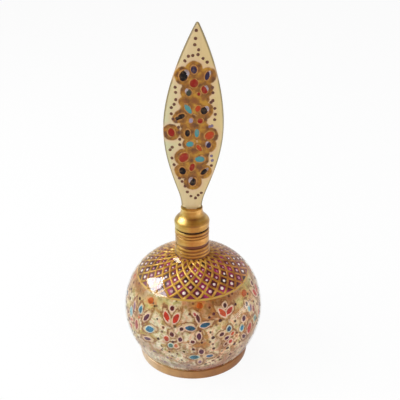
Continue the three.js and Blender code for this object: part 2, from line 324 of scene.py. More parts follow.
# Strokes of the painted flowers: degrees from the middle of a group, height, turn from upright in
# degrees, length, width and colour. The flowers are of the common kind, with petals, drops and dots.
RED, FLAME, ORANGE, ROSE, SALMON = "#C42E08", "#CC480A", "#C05806", "#AA4C44", "#CC7248"
SKY, AZURE, NAVY, TEAL, ICE = "#2C7A98", "#2A78A0", "#1C4466", "#4E8078", "#86B4C2"
PLUM, VIOLET, MAUVE, MAROON, INK = "#561034", "#66405C", "#8C6880", "#580A0C", "#4A1202"
OLIVE, UMBER = "#54400C", "#743810"
LEFT_FLOWER = (
    (-52.5, 30.2, 0, 3.2, 1.7, SKY), (-44.0, 28.6, 34, 4.6, 1.6, PLUM), (-39.6, 24.2, 66, 4.6, 2.3, AZURE),
    (-42.5, 19.0, 74, 4.2, 1.5, VIOLET), (-56.0, 22.6, 4, 4.6, 2.0, ROSE), (-66.5, 26.0, 0, 4.0, 2.2, ICE),
    (-62.0, 29.6, -14, 3.6, 1.4, MAUVE), (-53.0, 26.6, 0, 1.4, 1.2, SALMON),
)
LEFT_PAIR = (
    (-20.3, 34.9, 0, 2.1, 1.9, MAROON), (-24.4, 31.6, -27, 4.4, 1.9, RED), (-16.0, 31.5, 24, 4.4, 1.9, RED),
    (-16.5, 28.4, 0, 1.1, 1.1, OLIVE),
)
CROSS = (
    (2.9, 31.9, -12, 3.5, 1.3, MAROON), (0.2, 33.4, -30, 1.8, 0.9, ROSE), (-3.7, 28.1, -84, 4.2, 1.9, "#1C5A7E"),
    (8.7, 29.1, 80, 4.0, 1.8, "#1C5A7E"), (3.3, 24.6, 0, 3.2, 1.7, PLUM),
)
LOW_CROSS = (
    (5.2, 17.0, -12, 3.0, 1.8, PLUM), (-0.6, 13.8, 88, 3.8, 2.1, SKY), (12.3, 13.9, -82, 3.1, 1.8, "#4E6E92"),
    (4.3, 10.6, 0, 2.4, 1.3, MAUVE),
)
LEFT_ROSETTE = (
    (-18.8, 24.8, -20, 2.1, 1.6, MAROON), (-23.5, 22.4, 0, 2.5, 2.2, FLAME), (-12.0, 23.0, 10, 2.2, 1.6, PLUM),
    (-20.0, 19.5, 30, 2.2, 1.7, TEAL), (-15.6, 19.8, 0, 2.0, 1.4, SALMON),
)
RIGHT_ROSETTE = (
    (22.5, 23.9, 70, 2.2, 1.5, MAROON), (27.0, 21.5, 65, 2.2, 1.5, PLUM), (29.3, 25.3, 0, 2.3, 1.8, NAVY),
    (32.5, 22.7, 60, 1.9, 1.2, FLAME), (30.3, 19.2, 0, 2.1, 1.9, RED), (26.0, 18.6, 30, 1.7, 1.2, UMBER),
)
RIGHT_PAIR = (
    (29.0, 34.7, 0, 2.1, 1.7, INK), (25.0, 32.5, -33, 4.4, 2.0, FLAME), (32.3, 32.4, 55, 4.0, 1.8, RED),
)
RIGHT_FLOWER = (
    (53.0, 31.2, 0, 2.1, 1.6, OLIVE), (54.6, 28.8, 0, 2.1, 1.2, ICE), (57.2, 28.6, 14, 3.0, 1.3, MAUVE),
    (45.7, 26.6, 0, 2.6, 2.2, PLUM), (42.7, 23.0, 0, 2.6, 2.1, AZURE), (52.5, 20.5, 8, 5.0, 2.6, RED),
    (45.5, 18.2, -41, 3.2, 1.5, PLUM), (61.0, 27.3, 10, 3.0, 1.4, ROSE), (62.0, 22.5, 5, 2.6, 1.5, TEAL),
)
# Single dots: degrees from the middle of a group, height, size and colour
PEPPERING = (
    (-44.5, 35.1, 2.0, ORANGE), (5.0, 36.2, 2.1, ORANGE), (56.0, 35.2, 2.3, ORANGE), (-10.8, 27.6, 1.5, INK),
    (-1.8, 22.2, 1.5, MAROON), (5.6, 21.6, 0.9, INK), (-1.5, 18.5, 1.0, MAROON), (-9.3, 17.0, 1.0, OLIVE),
    (14.8, 23.2, 1.3, INK), (15.5, 17.8, 1.1, INK), (12.8, 25.8, 0.9, OLIVE), (10.0, 8.5, 1.0, OLIVE),
    (22.0, 29.8, 1.3, INK), (17.0, 32.8, 1.1, MAROON), (12.8, 31.8, 0.9, INK), (-4.2, 33.5, 1.0, UMBER),
    (14.0, 35.2, 0.9, UMBER), (-22.0, 15.8, 0.9, OLIVE), (-18.0, 21.5, 0.9, INK), (28.4, 15.9, 1.2, INK),
    (35.3, 16.8, 1.3, INK), (41.5, 16.0, 1.1, UMBER), (21.0, 11.6, 1.1, UMBER), (23.8, 9.6, 1.3, UMBER),
    (16.4, 10.2, 1.1, UMBER), (-31.0, 21.3, 1.1, INK), (-28.5, 18.0, 0.9, OLIVE), (-26.5, 27.0, 1.0, UMBER),
    (-38.0, 34.0, 0.9, OLIVE), (4.4, 26.8, 0.8, MAROON), (-15.0, 15.4, 0.9, UMBER), (-33.0, 29.6, 0.8, INK),
    (36.0, 27.5, 1.0, INK), (37.0, 22.0, 0.9, UMBER), (-25.0, 11.6, 1.0, MAUVE), (-38.0, 13.0, 1.1, MAUVE),
    (-12.0, 11.6, 0.9, OLIVE), (-30.0, 7.6, 1.0, MAUVE), (34.0, 11.0, 1.1, MAROON), (47.0, 12.0, 1.1, MAUVE),
    (-6.0, 8.2, 0.9, MAUVE), (40.0, 33.6, 1.1, MAROON),
)
# Each group of flowers: its middle in degrees from the front, how far its angles are spread, and its
# flowers. Neighbouring groups share the flower that stands between them.
MIDDLE_FLOWERS = (LEFT_PAIR, CROSS, LOW_CROSS, LEFT_ROSETTE, RIGHT_ROSETTE, RIGHT_PAIR)
GROUPS = (
    (1, 1.0, (LEFT_FLOWER, *MIDDLE_FLOWERS, RIGHT_FLOWER)), (94, 0.88, (*MIDDLE_FLOWERS, RIGHT_FLOWER)),
    (181, 0.88, (*MIDDLE_FLOWERS, RIGHT_FLOWER)), (268, 0.88, MIDDLE_FLOWERS[:-1]),
)


def bulb_spot(angle, run, depth):
    """Place on the bulb, in metres, with the directions across, up the slope and out of it."""
    radius, height, across_r, across_h = [
        np.interp(run, walk, values) for values in (*outside.T, *along.T)]
    turn = math.radians(angle)
    radial = Vector((math.sin(turn), -math.cos(turn), 0))
    across = Vector((math.cos(turn), math.sin(turn), 0))
    up = radial * across_r + Vector((0, 0, across_h))
    out = across.cross(up).normalized()
    return (radial * radius + Vector((0, 0, height))) * MM - out * depth * MM, across, up, out


def run_at(height):
    """Distance along the outside at which the bulb has a height."""
    return float(np.interp(height, outside[:, 1], walk))


bulb_marks = []
for middle, spread, flowers in GROUPS:
    for flower in flowers:
        for offset, height, turn, length, width, colour in flower:
            bulb_marks.append((middle + spread * offset, run_at(height), turn, length, width, colour))
    for offset, height, size, colour in PEPPERING:
        bulb_marks.append((middle + spread * offset, run_at(height), 0, 1.15 * size, 1.15 * size, colour))

# Washes brushed on the chalk before the flowers: degrees from the middle of a group, height, half
# width and half height in millimetres, strength and colour
WASHES = (
    (-26, 35.5, 5.0, 2.6, 0.8, "#E4E2B4"), (-10, 36.6, 3.6, 1.6, 0.6, "#E6DAB4"), (-6, 32.6, 3.4, 2.4, 0.75, "#E6D9BE"),
    (11, 33.4, 4.6, 2.2, 0.75, "#B87820"), (20, 36.2, 7.0, 1.7, 0.9, "#96580C"), (1, 36.4, 5.0, 1.5, 0.85, "#B26610"),
    (36, 35.6, 5.0, 2.0, 0.85, "#A0620E"), (-33, 36.2, 4.0, 1.4, 0.8, "#BAA850"),
    (-19, 29.2, 2.4, 1.4, 0.8, "#C87A28"), (-14, 26.6, 3.4, 2.0, 0.6, "#E2D6C2"), (-4, 25.2, 3.4, 1.8, 0.7, "#E0CDB0"),
    (17, 20.5, 2.6, 4.0, 0.8, "#E2D0B8"), (23, 19.0, 2.6, 3.6, 0.75, "#9C6030"), (24, 28.0, 5.0, 1.8, 0.6, "#D8C080"),
    (-10, 20.0, 1.6, 3.2, 0.5, "#B08E50"), (10, 20.2, 1.4, 3.6, 0.5, "#BE9C58"), (0, 4.4, 5.0, 2.6, 0.75, "#B06A50"),
    (19, 5.2, 5.6, 3.0, 0.8, "#A85A44"), (33, 10.0, 5.0, 5.0, 0.65, "#B0704A"), (-20, 7.2, 7.0, 2.2, 0.7, "#A39AA2"),
    (-24, 11.8, 6.0, 1.4, 0.45, "#DACCBE"), (-4, 9.4, 4.0, 1.6, 0.5, "#CDC0B4"), (42, 31.0, 3.4, 2.8, 0.7, "#C8A050"),
    (-34, 27.0, 3.0, 3.6, 0.7, "#E2DCC2"), (-50, 33.4, 4.6, 1.8, 0.8, "#DAD68E"), (-31, 22.6, 3.0, 3.0, 0.5, "#D8CDA8"),
    (38, 26.0, 2.6, 2.8, 0.6, "#DCC8A4"), (56, 15.0, 5.0, 3.4, 0.6, "#A8703E"), (-47, 13.0, 6.0, 3.6, 0.5, "#D2C6BC"),
    (-44, 35.0, 2.6, 1.8, 0.75, "#D8A040"), (5, 36.0, 3.0, 1.5, 0.75, "#D4902E"), (56, 35.0, 2.6, 1.8, 0.75, "#CC8426"),
)

# Chalk ground tinted in washes: ochre under the shoulder, cream over the girth, lilac and rose down
# to the foot, plum on the shoulder under the lattice, and brown-ochre contours round the flowers.
# Light and shade are painted into the ground across the pot: paler, cooler and greener on the -X
# side, where the window light falls, and deeper, warmer, with more ochre, on the +X side.
painted, tree, output = new_material("painted_chalk_ground")
place = add(tree, "ShaderNodeTexCoord").outputs["Object"]
parts = add(tree, "ShaderNodeSeparateXYZ", {0: place})
level = add(tree, "ShaderNodeMapRange", {0: parts.outputs["Z"], 1: 0.0, 2: 0.05})
wander = add(tree, "ShaderNodeTexNoise", {"Vector": place, "Scale": 170.0, "Detail": 3.0})
shift = add(tree, "ShaderNodeMapRange", {0: wander.outputs["Fac"], 3: -0.05, 4: 0.05})
uneven = add(tree, "ShaderNodeMath", {0: level.outputs[0], 1: shift.outputs[0]}, operation="ADD")
ground = add(tree, "ShaderNodeValToRGB", {0: uneven.outputs[0]}, stops=(
    (0.08, "#B88A74"), (0.2, "#C4A894"), (0.38, "#BC8C40"), (0.56, "#BA841E"), (0.68, "#AE6A0C"), (0.74, "#9C5408")))
# Painted light and shade across the pot, by X: cool, pale and olive-green on -X, warm ochre on +X.
side = add(tree, "ShaderNodeMapRange", {0: parts.outputs["X"], 1: -0.024, 2: 0.024})
painted_side_light = add(tree, "ShaderNodeValToRGB", {0: side.outputs[0]}, stops=((0.0, "#F2FFE4"), (0.4, "#FFF6DC"), (1.0, "#FFD69C")))
side_lit_ground = add(tree, "ShaderNodeMix", {0: 1.0, 6: ground.outputs[0], 7: painted_side_light.outputs[0]}, data_type="RGBA",
               blend_type="MULTIPLY")
greener_where_lit = add(tree, "ShaderNodeMapRange", {0: side.outputs[0], 1: 0.5, 2: 0.1, 4: 0.85})
with_side_light = add(tree, "ShaderNodeMix", {0: greener_where_lit.outputs[0], 6: side_lit_ground.outputs[2], 7: linear("#C6BA5C")},
            data_type="RGBA")
# Patches where the chalk shows through, 2 to 4 mm across
patch = add(tree, "ShaderNodeTexNoise", {"Vector": place, "Scale": 250.0, "Detail": 6.0, "Roughness": 0.62, "Distortion": 0.7})
bare_height = add(tree, "ShaderNodeMapRange", {0: level.outputs[0], 1: 0.52, 2: 0.7, 3: 0.9, 4: 0.4})
patches = add(tree, "ShaderNodeMapRange", {0: patch.outputs["Fac"], 1: 0.455, 2: 0.52, 4: bare_height.outputs[0]})
# The bare chalk is painted cooler on -X and warmer on +X too, as painted light and shade.
chalk = add(tree, "ShaderNodeValToRGB", {0: side.outputs[0]}, stops=((0.0, "#FAFCF4"), (0.45, "#FDF8E4"), (1.0, "#FAE6BE")))
chalky = add(tree, "ShaderNodeMix", {0: patches.outputs[0], 6: with_side_light.outputs[2], 7: chalk.outputs[0]},
             data_type="RGBA")
smear = add(tree, "ShaderNodeTexNoise", {"Vector": place, "Scale": 270.0, "Detail": 5.0, "Roughness": 0.6, "Distortion": 1.0, "W": 3.0},
            noise_dimensions="4D")
smears = add(tree, "ShaderNodeMapRange", {0: smear.outputs["Fac"], 1: 0.52, 2: 0.63, 4: 0.8})
# The smears are painted olive on -X and rust on +X, as painted light and shade.
smear_tint = add(tree, "ShaderNodeValToRGB", {0: side.outputs[0]}, stops=(
    (0.0, "#AC9434"), (0.3, "#A8741A"), (0.55, "#A05006")))
smeared = add(tree, "ShaderNodeMix", {0: smears.outputs[0], 6: chalky.outputs[2], 7: smear_tint.outputs[0]},
              data_type="RGBA")
wash = add(tree, "ShaderNodeAttribute", attribute_name="wash")
brushed_wash = add(tree, "ShaderNodeMapRange", {0: patch.outputs["Fac"], 1: 0.3, 2: 0.6, 3: 1.0, 4: 0.85})
wash_amount = add(tree, "ShaderNodeMath", {0: wash.outputs["Alpha"], 1: brushed_wash.outputs[0]}, operation="MULTIPLY")
washed = add(tree, "ShaderNodeMix", {0: wash_amount.outputs[0], 6: smeared.outputs[2], 7: wash.outputs["Color"]},
             data_type="RGBA")
# Olive and rose tinges about 1.5 mm across, where one wash ran into another
run = add(tree, "ShaderNodeTexNoise", {"Vector": place, "Scale": 560.0, "Detail": 3.0})
tinge = add(tree, "ShaderNodeValToRGB", {0: run.outputs["Fac"]},
            stops=((0.36, "#D0CC98"), (0.48, "#FFFFFF"), (0.52, "#FFFFFF"), (0.64, "#FFD8CA")))
varied = add(tree, "ShaderNodeMix", {0: 1.0, 6: washed.outputs[2], 7: tinge.outputs[0]}, data_type="RGBA",
             blend_type="MULTIPLY")
# Scrolls drawn with a fine brush, 0.5 mm lines
scroll = add(tree, "ShaderNodeTexNoise", {"Vector": place, "Scale": 310.0, "Detail": 2.0, "Distortion": 1.4})
ridge = add(tree, "ShaderNodeMath", {0: scroll.outputs["Fac"], 1: 0.5, 2: 0.02}, operation="COMPARE")
weight = add(tree, "ShaderNodeMapRange", {0: level.outputs[0], 1: 0.2, 2: 0.4, 3: 0.75, 4: 0.35})
fine = add(tree, "ShaderNodeMath", {0: ridge.outputs[0], 1: weight.outputs[0]}, operation="MULTIPLY")
ink = add(tree, "ShaderNodeMix", {0: level.outputs[0], 6: linear("#8A5A5C"), 7: linear("#84500C")}, data_type="RGBA")
scrolled = add(tree, "ShaderNodeMix", {0: fine.outputs[0], 6: varied.outputs[2], 7: ink.outputs[2]}, data_type="RGBA")
# Specks of dark colour flicked on, about 3 mm apart
flick = add(tree, "ShaderNodeTexVoronoi", {"Vector": place, "Scale": 330.0})
speck = add(tree, "ShaderNodeMapRange", {0: flick.outputs["Distance"], 1: 0.2, 2: 0.15, 4: 0.85})
specked = add(tree, "ShaderNodeMix", {0: speck.outputs[0], 6: scrolled.outputs[2], 7: linear("#541E08")},
              data_type="RGBA")
# Contours round the petals, with a glow of ochre outside them and a paler ground inside
away = add(tree, "ShaderNodeAttribute", attribute_name="halo")
unsteady = add(tree, "ShaderNodeMapRange", {0: scroll.outputs["Fac"], 3: -1.1, 4: 1.1})
reach = add(tree, "ShaderNodeMath", {0: away.outputs["Fac"], 1: unsteady.outputs[0]}, operation="ADD")
glow = add(tree, "ShaderNodeMapRange", {0: reach.outputs[0], 1: 1.8, 2: 0.7, 4: 0.55})
glowing = add(tree, "ShaderNodeMix", {0: glow.outputs[0], 6: specked.outputs[2], 7: linear("#B27A22")},
              data_type="RGBA")
inside = add(tree, "ShaderNodeMapRange", {0: reach.outputs[0], 1: 0.6, 2: 0.2, 4: 0.5})
paler = add(tree, "ShaderNodeMix", {0: inside.outputs[0], 6: glowing.outputs[2], 7: linear("#EAD8B4")},
            data_type="RGBA")
line = add(tree, "ShaderNodeMath", {0: reach.outputs[0], 1: 0.8, 2: 0.25}, operation="COMPARE")
pressure = add(tree, "ShaderNodeMapRange", {0: smear.outputs["Fac"], 1: 0.4, 2: 0.56, 3: 0.45, 4: 1.0})
drawn = add(tree, "ShaderNodeMath", {0: line.outputs[0], 1: pressure.outputs[0]}, operation="MULTIPLY")
contour = add(tree, "ShaderNodeValToRGB", {0: level.outputs[0]}, stops=((0.3, "#86502C"), (0.5, "#8A4E08"), (0.7, "#824404")))
lined = add(tree, "ShaderNodeMix", {0: drawn.outputs[0], 6: paler.outputs[2], 7: contour.outputs[0]}, data_type="RGBA")
# A yellow line round the edge of the shoulder, and the plum ground above it
border = add(tree, "ShaderNodeMath", {0: parts.outputs["Z"], 1: (SHOULDER_HEIGHT - 0.35) * MM, 2: 0.3 * MM},
             operation="COMPARE")
bordered = add(tree, "ShaderNodeMix", {0: border.outputs[0], 6: lined.outputs[2], 7: linear("#CDA348")},
               data_type="RGBA")
plum_cloud = add(tree, "ShaderNodeTexNoise", {"Vector": place, "Scale": 300.0, "Detail": 2.0})
plum = add(tree, "ShaderNodeValToRGB", {0: plum_cloud.outputs["Fac"]},
           stops=((0.35, PLUM_DARK), (0.5, PLUM_GROUND), (0.68, PLUM_BRIGHT)))
over = add(tree, "ShaderNodeMath", {0: parts.outputs["Z"], 1: SHOULDER_HEIGHT * MM}, operation="GREATER_THAN")
# Painted shade: the plum cells are darkened towards the -X side.
plum_shade_by_side = add(tree, "ShaderNodeMapRange", {0: side.outputs[0], 1: 0.3, 2: 0.02, 4: 0.7})
shaded_plum = add(tree, "ShaderNodeMix", {0: plum_shade_by_side.outputs[0], 6: plum.outputs[0], 7: linear(PLUM_DARK)},
                data_type="RGBA")
coloured = add(tree, "ShaderNodeMix", {0: over.outputs[0], 6: bordered.outputs[2], 7: shaded_plum.outputs[2]},
               data_type="RGBA")
relief = add(tree, "ShaderNodeBump", {"Strength": 0.2, "Distance": 0.0001, "Height": scroll.outputs["Fac"]})
paint = add(tree, "ShaderNodeBsdfPrincipled", {
    "Base Color": coloured.outputs[2], "Roughness": 0.5, "Normal": relief.outputs[0]})
tree.links.new(paint.outputs[0], output.inputs[0])

bulb = turned("bulb_painted", bulb_outline, BULB_SIDES, painted, bare_wood)
spots = np.zeros(len(bulb.data.vertices) * 3)
bulb.data.vertices.foreach_get("co", spots)
spots = spots.reshape(-1, 3) / MM
spot_angle = np.degrees(np.arctan2(spots[:, 0], -spots[:, 1]))
spot_radius = np.hypot(spots[:, 0], spots[:, 1])
spot_run = np.interp(spots[:, 2], outside[:, 1], walk)


def from_spot(angle, run):
    """How far each vertex of the bulb lies across and up from a place on it, in millimetres."""
    return np.radians((spot_angle - angle + 180) % 360 - 180) * spot_radius, spot_run - run


# How far each vertex is from the edge of the nearest petal
nearest = np.full(len(spots), 9.0)
for angle, run, turn, length, width, colour in bulb_marks:
    if colour != ORANGE and (length > 1.2 * width or width > 2.2):
        across, up = from_spot(angle, run)
        lean = math.radians(turn)
        long = (up * math.cos(lean) + across * math.sin(lean)) / (length / 2)
        wide = (across * math.cos(lean) - up * math.sin(lean)) / (width / 2)
        nearest = np.minimum(nearest, (np.hypot(long, wide) - 1) * width / 2)
bulb.data.attributes.new("halo", "FLOAT", "POINT").data.foreach_set("value", np.clip(nearest, 0, 9))

# The washes laid over one another, as a colour and how much of it there is
tint, cover = np.zeros((len(spots), 3)), np.zeros((len(spots), 1))
for middle, spread, _ in GROUPS:
    for offset, height, half_width, half_height, strength, colour in WASHES:
        across, up = from_spot(middle + spread * offset, run_at(height))
        share = strength * np.exp(-(across / half_width) ** 4 - (up / half_height) ** 4)[:, None]
        tint = tint * (1 - share) + np.array(linear(colour)[:3]) * share
        cover = cover * (1 - share) + share
wash_data = bulb.data.attributes.new("wash", "FLOAT_COLOR", "POINT")
wash_data.data.foreach_set("color", np.hstack([tint / np.maximum(cover, 0.001), cover]).ravel())
inner_faces = range((len(painted_line) + 1) * BULB_SIDES, len(bulb.data.polygons))
for i in inner_faces:
    bulb.data.polygons[i].material_index = 1
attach(bulb, "pot")
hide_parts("bulb")

# Lattice on the shoulder
# Two sets of spiral lines piped on in raised gold, from the shoulder's edge to the neck, and a
# pale bead of paint in each cell.
LATTICE_LINES = 25
LATTICE_ROWS = 7
LATTICE_ROW = 2.47
LATTICE_START = -2.6
LINE_RADIUS = 0.52
LINE_SINK = 0.17
BEAD_RADIUS = 0.74
BEAD_SINK = 0.36
lattice_foot = run_at(38.2)
lattice_top = float(runs[-1])


def grown(name, mesh, tree, values):
    """What a node tree makes from a mesh, as a plain mesh object at the origin."""
    piece = bpy.data.objects.new(name, mesh)
    bpy.context.scene.collection.objects.link(piece)
    modifier = piece.modifiers.new(name, "NODES")
    modifier.node_group = tree
    for item in tree.interface.items_tree:
        if item.in_out == "INPUT" and item.name in values:
            modifier[item.identifier] = values[item.name]
    depsgraph = bpy.context.evaluated_depsgraph_get()
    plain = bpy.data.meshes.new_from_object(
        piece.evaluated_get(depsgraph), preserve_all_data_layers=True, depsgraph=depsgraph)
    piece.modifiers.clear()
    piece.data = plain
    plain.name = name
    return piece


def new_tree(name, **sockets):
    """A geometry node tree with named inputs, given as name=(socket kind, default)."""
    tree = bpy.data.node_groups.new(name, "GeometryNodeTree")
    tree.interface.new_socket("Geometry", in_out="OUTPUT", socket_type="NodeSocketGeometry")
    tree.interface.new_socket("Geometry", in_out="INPUT", socket_type="NodeSocketGeometry")
    for key, (kind, default) in sockets.items():
        socket = tree.interface.new_socket(key, in_out="INPUT", socket_type="NodeSocket" + kind)
        if default is not None:
            socket.default_value = default
    source = add(tree, "NodeGroupInput")
    return tree, source


def line_mesh(name, points):
    """A mesh of one open line through points."""
    mesh = bpy.data.meshes.new(name)
    mesh.from_pydata(points, [(i, i + 1) for i in range(len(points) - 1)], [])
    return mesh


lattice, source = new_tree(
    "spiral_lattice", Lines=("Int", 25), Start=("Float", 0.0), Twist=("Float", 1.0), Radius=("Float", 0.0004),
    Paint=("Material", None))
rail = add(lattice, "GeometryNodeMeshToCurve", {0: source.outputs["Geometry"]})
fine = add(lattice, "GeometryNodeResampleCurve", {0: rail.outputs[0], "Count": 56})
copies = add(lattice, "GeometryNodeDuplicateElements", {0: fine.outputs[0], "Amount": source.outputs["Lines"]},
             domain="SPLINE")
pitch = add(lattice, "ShaderNodeMath", {0: math.tau, 1: source.outputs["Lines"]}, operation="DIVIDE")
base = add(lattice, "ShaderNodeMath", {0: copies.outputs[1], 1: pitch.outputs[0], 2: source.outputs["Start"]},
           operation="MULTIPLY_ADD")
share = add(lattice, "GeometryNodeSplineParameter")
taper = add(lattice, "ShaderNodeMapRange", {0: share.outputs["Factor"], 3: 1.0, 4: 0.6})
spot = add(lattice, "GeometryNodeInputPosition")
both = add(lattice, "GeometryNodeJoinGeometry")
for way in (1, -1):
    swing = add(lattice, "ShaderNodeMath", {0: source.outputs["Twist"], 1: way}, operation="MULTIPLY")
    angle = add(lattice, "ShaderNodeMath",
                {0: share.outputs["Factor"], 1: swing.outputs[0], 2: base.outputs[0]}, operation="MULTIPLY_ADD")
    swung = add(lattice, "ShaderNodeVectorRotate", {"Vector": spot.outputs[0], "Angle": angle.outputs[0]},
                rotation_type="Z_AXIS")
    spirals = add(lattice, "GeometryNodeSetPosition", {0: copies.outputs[0], "Position": swung.outputs[0]})
    lattice.links.new(spirals.outputs[0], both.inputs[0])
thin = add(lattice, "GeometryNodeSetCurveRadius", {0: both.outputs[0], "Radius": taper.outputs[0]})
round_line = add(lattice, "GeometryNodeCurvePrimitiveCircle", {"Resolution": 10, "Radius": source.outputs["Radius"]})
tubes = add(lattice, "GeometryNodeCurveToMesh", {0: thin.outputs[0], 1: round_line.outputs[0], "Fill Caps": True})
smooth = add(lattice, "GeometryNodeSetShadeSmooth", {0: tubes.outputs[0]})
real = add(lattice, "GeometryNodeRealizeInstances", {0: smooth.outputs[0]})
coated = add(lattice, "GeometryNodeSetMaterial", {0: real.outputs[0], "Material": source.outputs["Paint"]})
add(lattice, "NodeGroupOutput", {0: coated.outputs[0]})

# Gum and shell gold, piped from a cone: yellow gold with a brown shade where it is thin, and painted
# light and shade across the pot: greenish towards -X and darker brown towards +X.
piped_gold, tree, output = new_material("piped_shell_gold")
place = add(tree, "ShaderNodeTexCoord").outputs["Object"]
cloud = add(tree, "ShaderNodeTexNoise", {"Vector": place, "Scale": 420.0, "Detail": 3.0})
colour = add(tree, "ShaderNodeValToRGB", {0: cloud.outputs["Fac"]},
             stops=((0.3, "#9A6418"), (0.5, "#CA9A36"), (0.7, "#EECE70")))
parts = add(tree, "ShaderNodeSeparateXYZ", {0: place})
# Painted light and shade by X: lightest just left of the middle, greenish at -X, darker brown at +X.
side = add(tree, "ShaderNodeMapRange", {0: parts.outputs["X"], 1: -0.02, 2: 0.02})
painted_side_light = add(tree, "ShaderNodeValToRGB", {0: side.outputs[0]}, stops=((0.0, "#D8D09C"), (0.3, "#FCF0CE"), (0.45, "#FFFAF0"), (1.0, "#D8A468")))
with_side_light = add(tree, "ShaderNodeMix", {0: 1.0, 6: colour.outputs[0], 7: painted_side_light.outputs[0]}, data_type="RGBA",
            blend_type="MULTIPLY")
gold_paint = add(tree, "ShaderNodeBsdfPrincipled", {
    "Base Color": with_side_light.outputs[2], "Metallic": 0.25, "Roughness": 0.4})
tree.links.new(gold_paint.outputs[0], output.inputs[0])

half_cell = math.pi / LATTICE_LINES
front = math.radians(LATTICE_START - 90)
line_rail = [(r, 0, z) for r, z in sunk(LACQUER_DEPTH + LINE_SINK, lattice_foot, lattice_top, 60)]
lines = grown("lattice_lines", line_mesh("lattice_rail", line_rail), lattice, {
    "Lines": LATTICE_LINES, "Start": front + half_cell, "Twist": half_cell * LATTICE_ROWS,
    "Radius": LINE_RADIUS * MM, "Paint": piped_gold})
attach(lines, "pot")

# Beads of lead white over rose, one in each cell, smaller towards the neck.
bead_rows, source = new_tree(
    "lattice_beads", Lines=("Int", 25), Start=("Float", 0.0), Radius=("Float", 0.0006), Paint=("Material", None))
rail = add(bead_rows, "GeometryNodeMeshToPoints", {0: source.outputs["Geometry"]})
row = add(bead_rows, "GeometryNodeInputIndex")
held = add(bead_rows, "GeometryNodeCaptureAttribute", {0: rail.outputs[0]})
held.capture_items.new("INT", "Row")
bead_rows.links.new(row.outputs[0], held.inputs["Row"])
copies = add(bead_rows, "GeometryNodeDuplicateElements", {0: held.outputs[0], "Amount": source.outputs["Lines"]},
             domain="POINT")
odd = add(bead_rows, "ShaderNodeMath", {0: held.outputs["Row"], 1: 2.0}, operation="MODULO")
stagger = add(bead_rows, "ShaderNodeMath", {0: odd.outputs[0], 1: 0.5, 2: copies.outputs[1]}, operation="MULTIPLY_ADD")
pitch = add(bead_rows, "ShaderNodeMath", {0: math.tau, 1: source.outputs["Lines"]}, operation="DIVIDE")
angle = add(bead_rows, "ShaderNodeMath", {0: stagger.outputs[0], 1: pitch.outputs[0], 2: source.outputs["Start"]},
            operation="MULTIPLY_ADD")
spot = add(bead_rows, "GeometryNodeInputPosition")
swung = add(bead_rows, "ShaderNodeVectorRotate", {"Vector": spot.outputs[0], "Angle": angle.outputs[0]},
            rotation_type="Z_AXIS")
spread = add(bead_rows, "GeometryNodeSetPosition", {0: copies.outputs[0], "Position": swung.outputs[0]})
size = add(bead_rows, "ShaderNodeMapRange", {0: held.outputs["Row"], 2: 5.0, 3: 1.0, 4: 0.5})
ball = add(bead_rows, "GeometryNodeMeshIcoSphere", {"Radius": source.outputs["Radius"], "Subdivisions": 3})
set_out = add(bead_rows, "GeometryNodeInstanceOnPoints",
              {"Points": spread.outputs[0], "Instance": ball.outputs[0], "Scale": size.outputs[0]})
real = add(bead_rows, "GeometryNodeRealizeInstances", {0: set_out.outputs[0]})
smooth = add(bead_rows, "GeometryNodeSetShadeSmooth", {0: real.outputs[0]})
coated = add(bead_rows, "GeometryNodeSetMaterial", {0: smooth.outputs[0], "Material": source.outputs["Paint"]})
add(bead_rows, "NodeGroupOutput", {0: coated.outputs[0]})

rose_white, tree, output = new_material("rose_and_white_bead")
place = add(tree, "ShaderNodeTexCoord").outputs["Object"]
cloud = add(tree, "ShaderNodeTexNoise", {"Vector": place, "Scale": 170.0, "Detail": 1.0})
colour = add(tree, "ShaderNodeValToRGB", {0: cloud.outputs["Fac"]}, stops=((0.38, "#C07894"), (0.54, "#FAEAE6")))
dab = add(tree, "ShaderNodeBsdfPrincipled", {"Base Color": colour.outputs[0], "Roughness": 0.3})
tree.links.new(dab.outputs[0], output.inputs[0])

bead_start, bead_end = lattice_foot + LATTICE_ROW, lattice_foot + LATTICE_ROW * (LATTICE_ROWS - 1)
bead_rail = [(r, 0, z) for r, z in sunk(LACQUER_DEPTH + BEAD_SINK, bead_start, bead_end, LATTICE_ROWS - 2)]
beads = grown("lattice_beads", line_mesh("bead_rail", bead_rail), bead_rows, {
    "Lines": LATTICE_LINES, "Start": front + half_cell, "Radius": BEAD_RADIUS * MM, "Paint": rose_white})
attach(beads, "pot")

# Painted sprays on the bulb
# Petals, drops and dots of thick gum colour, each on a slightly larger dab of white with a blush
# of pink. They stand a little proud of the ground, under the lacquer.
OUTLINE = 0.28
FULLNESS = 1.25
PETAL_HEIGHT = 0.2
DAB_HEIGHT = 0.1
STROKE_SIDES = 20
STROKE_LEVELS = ((1.0, -0.7, 0.0), (1.0, 0.0, 0.0), (0.86, 0.5, 0.35), (0.55, 0.88, 0.75))


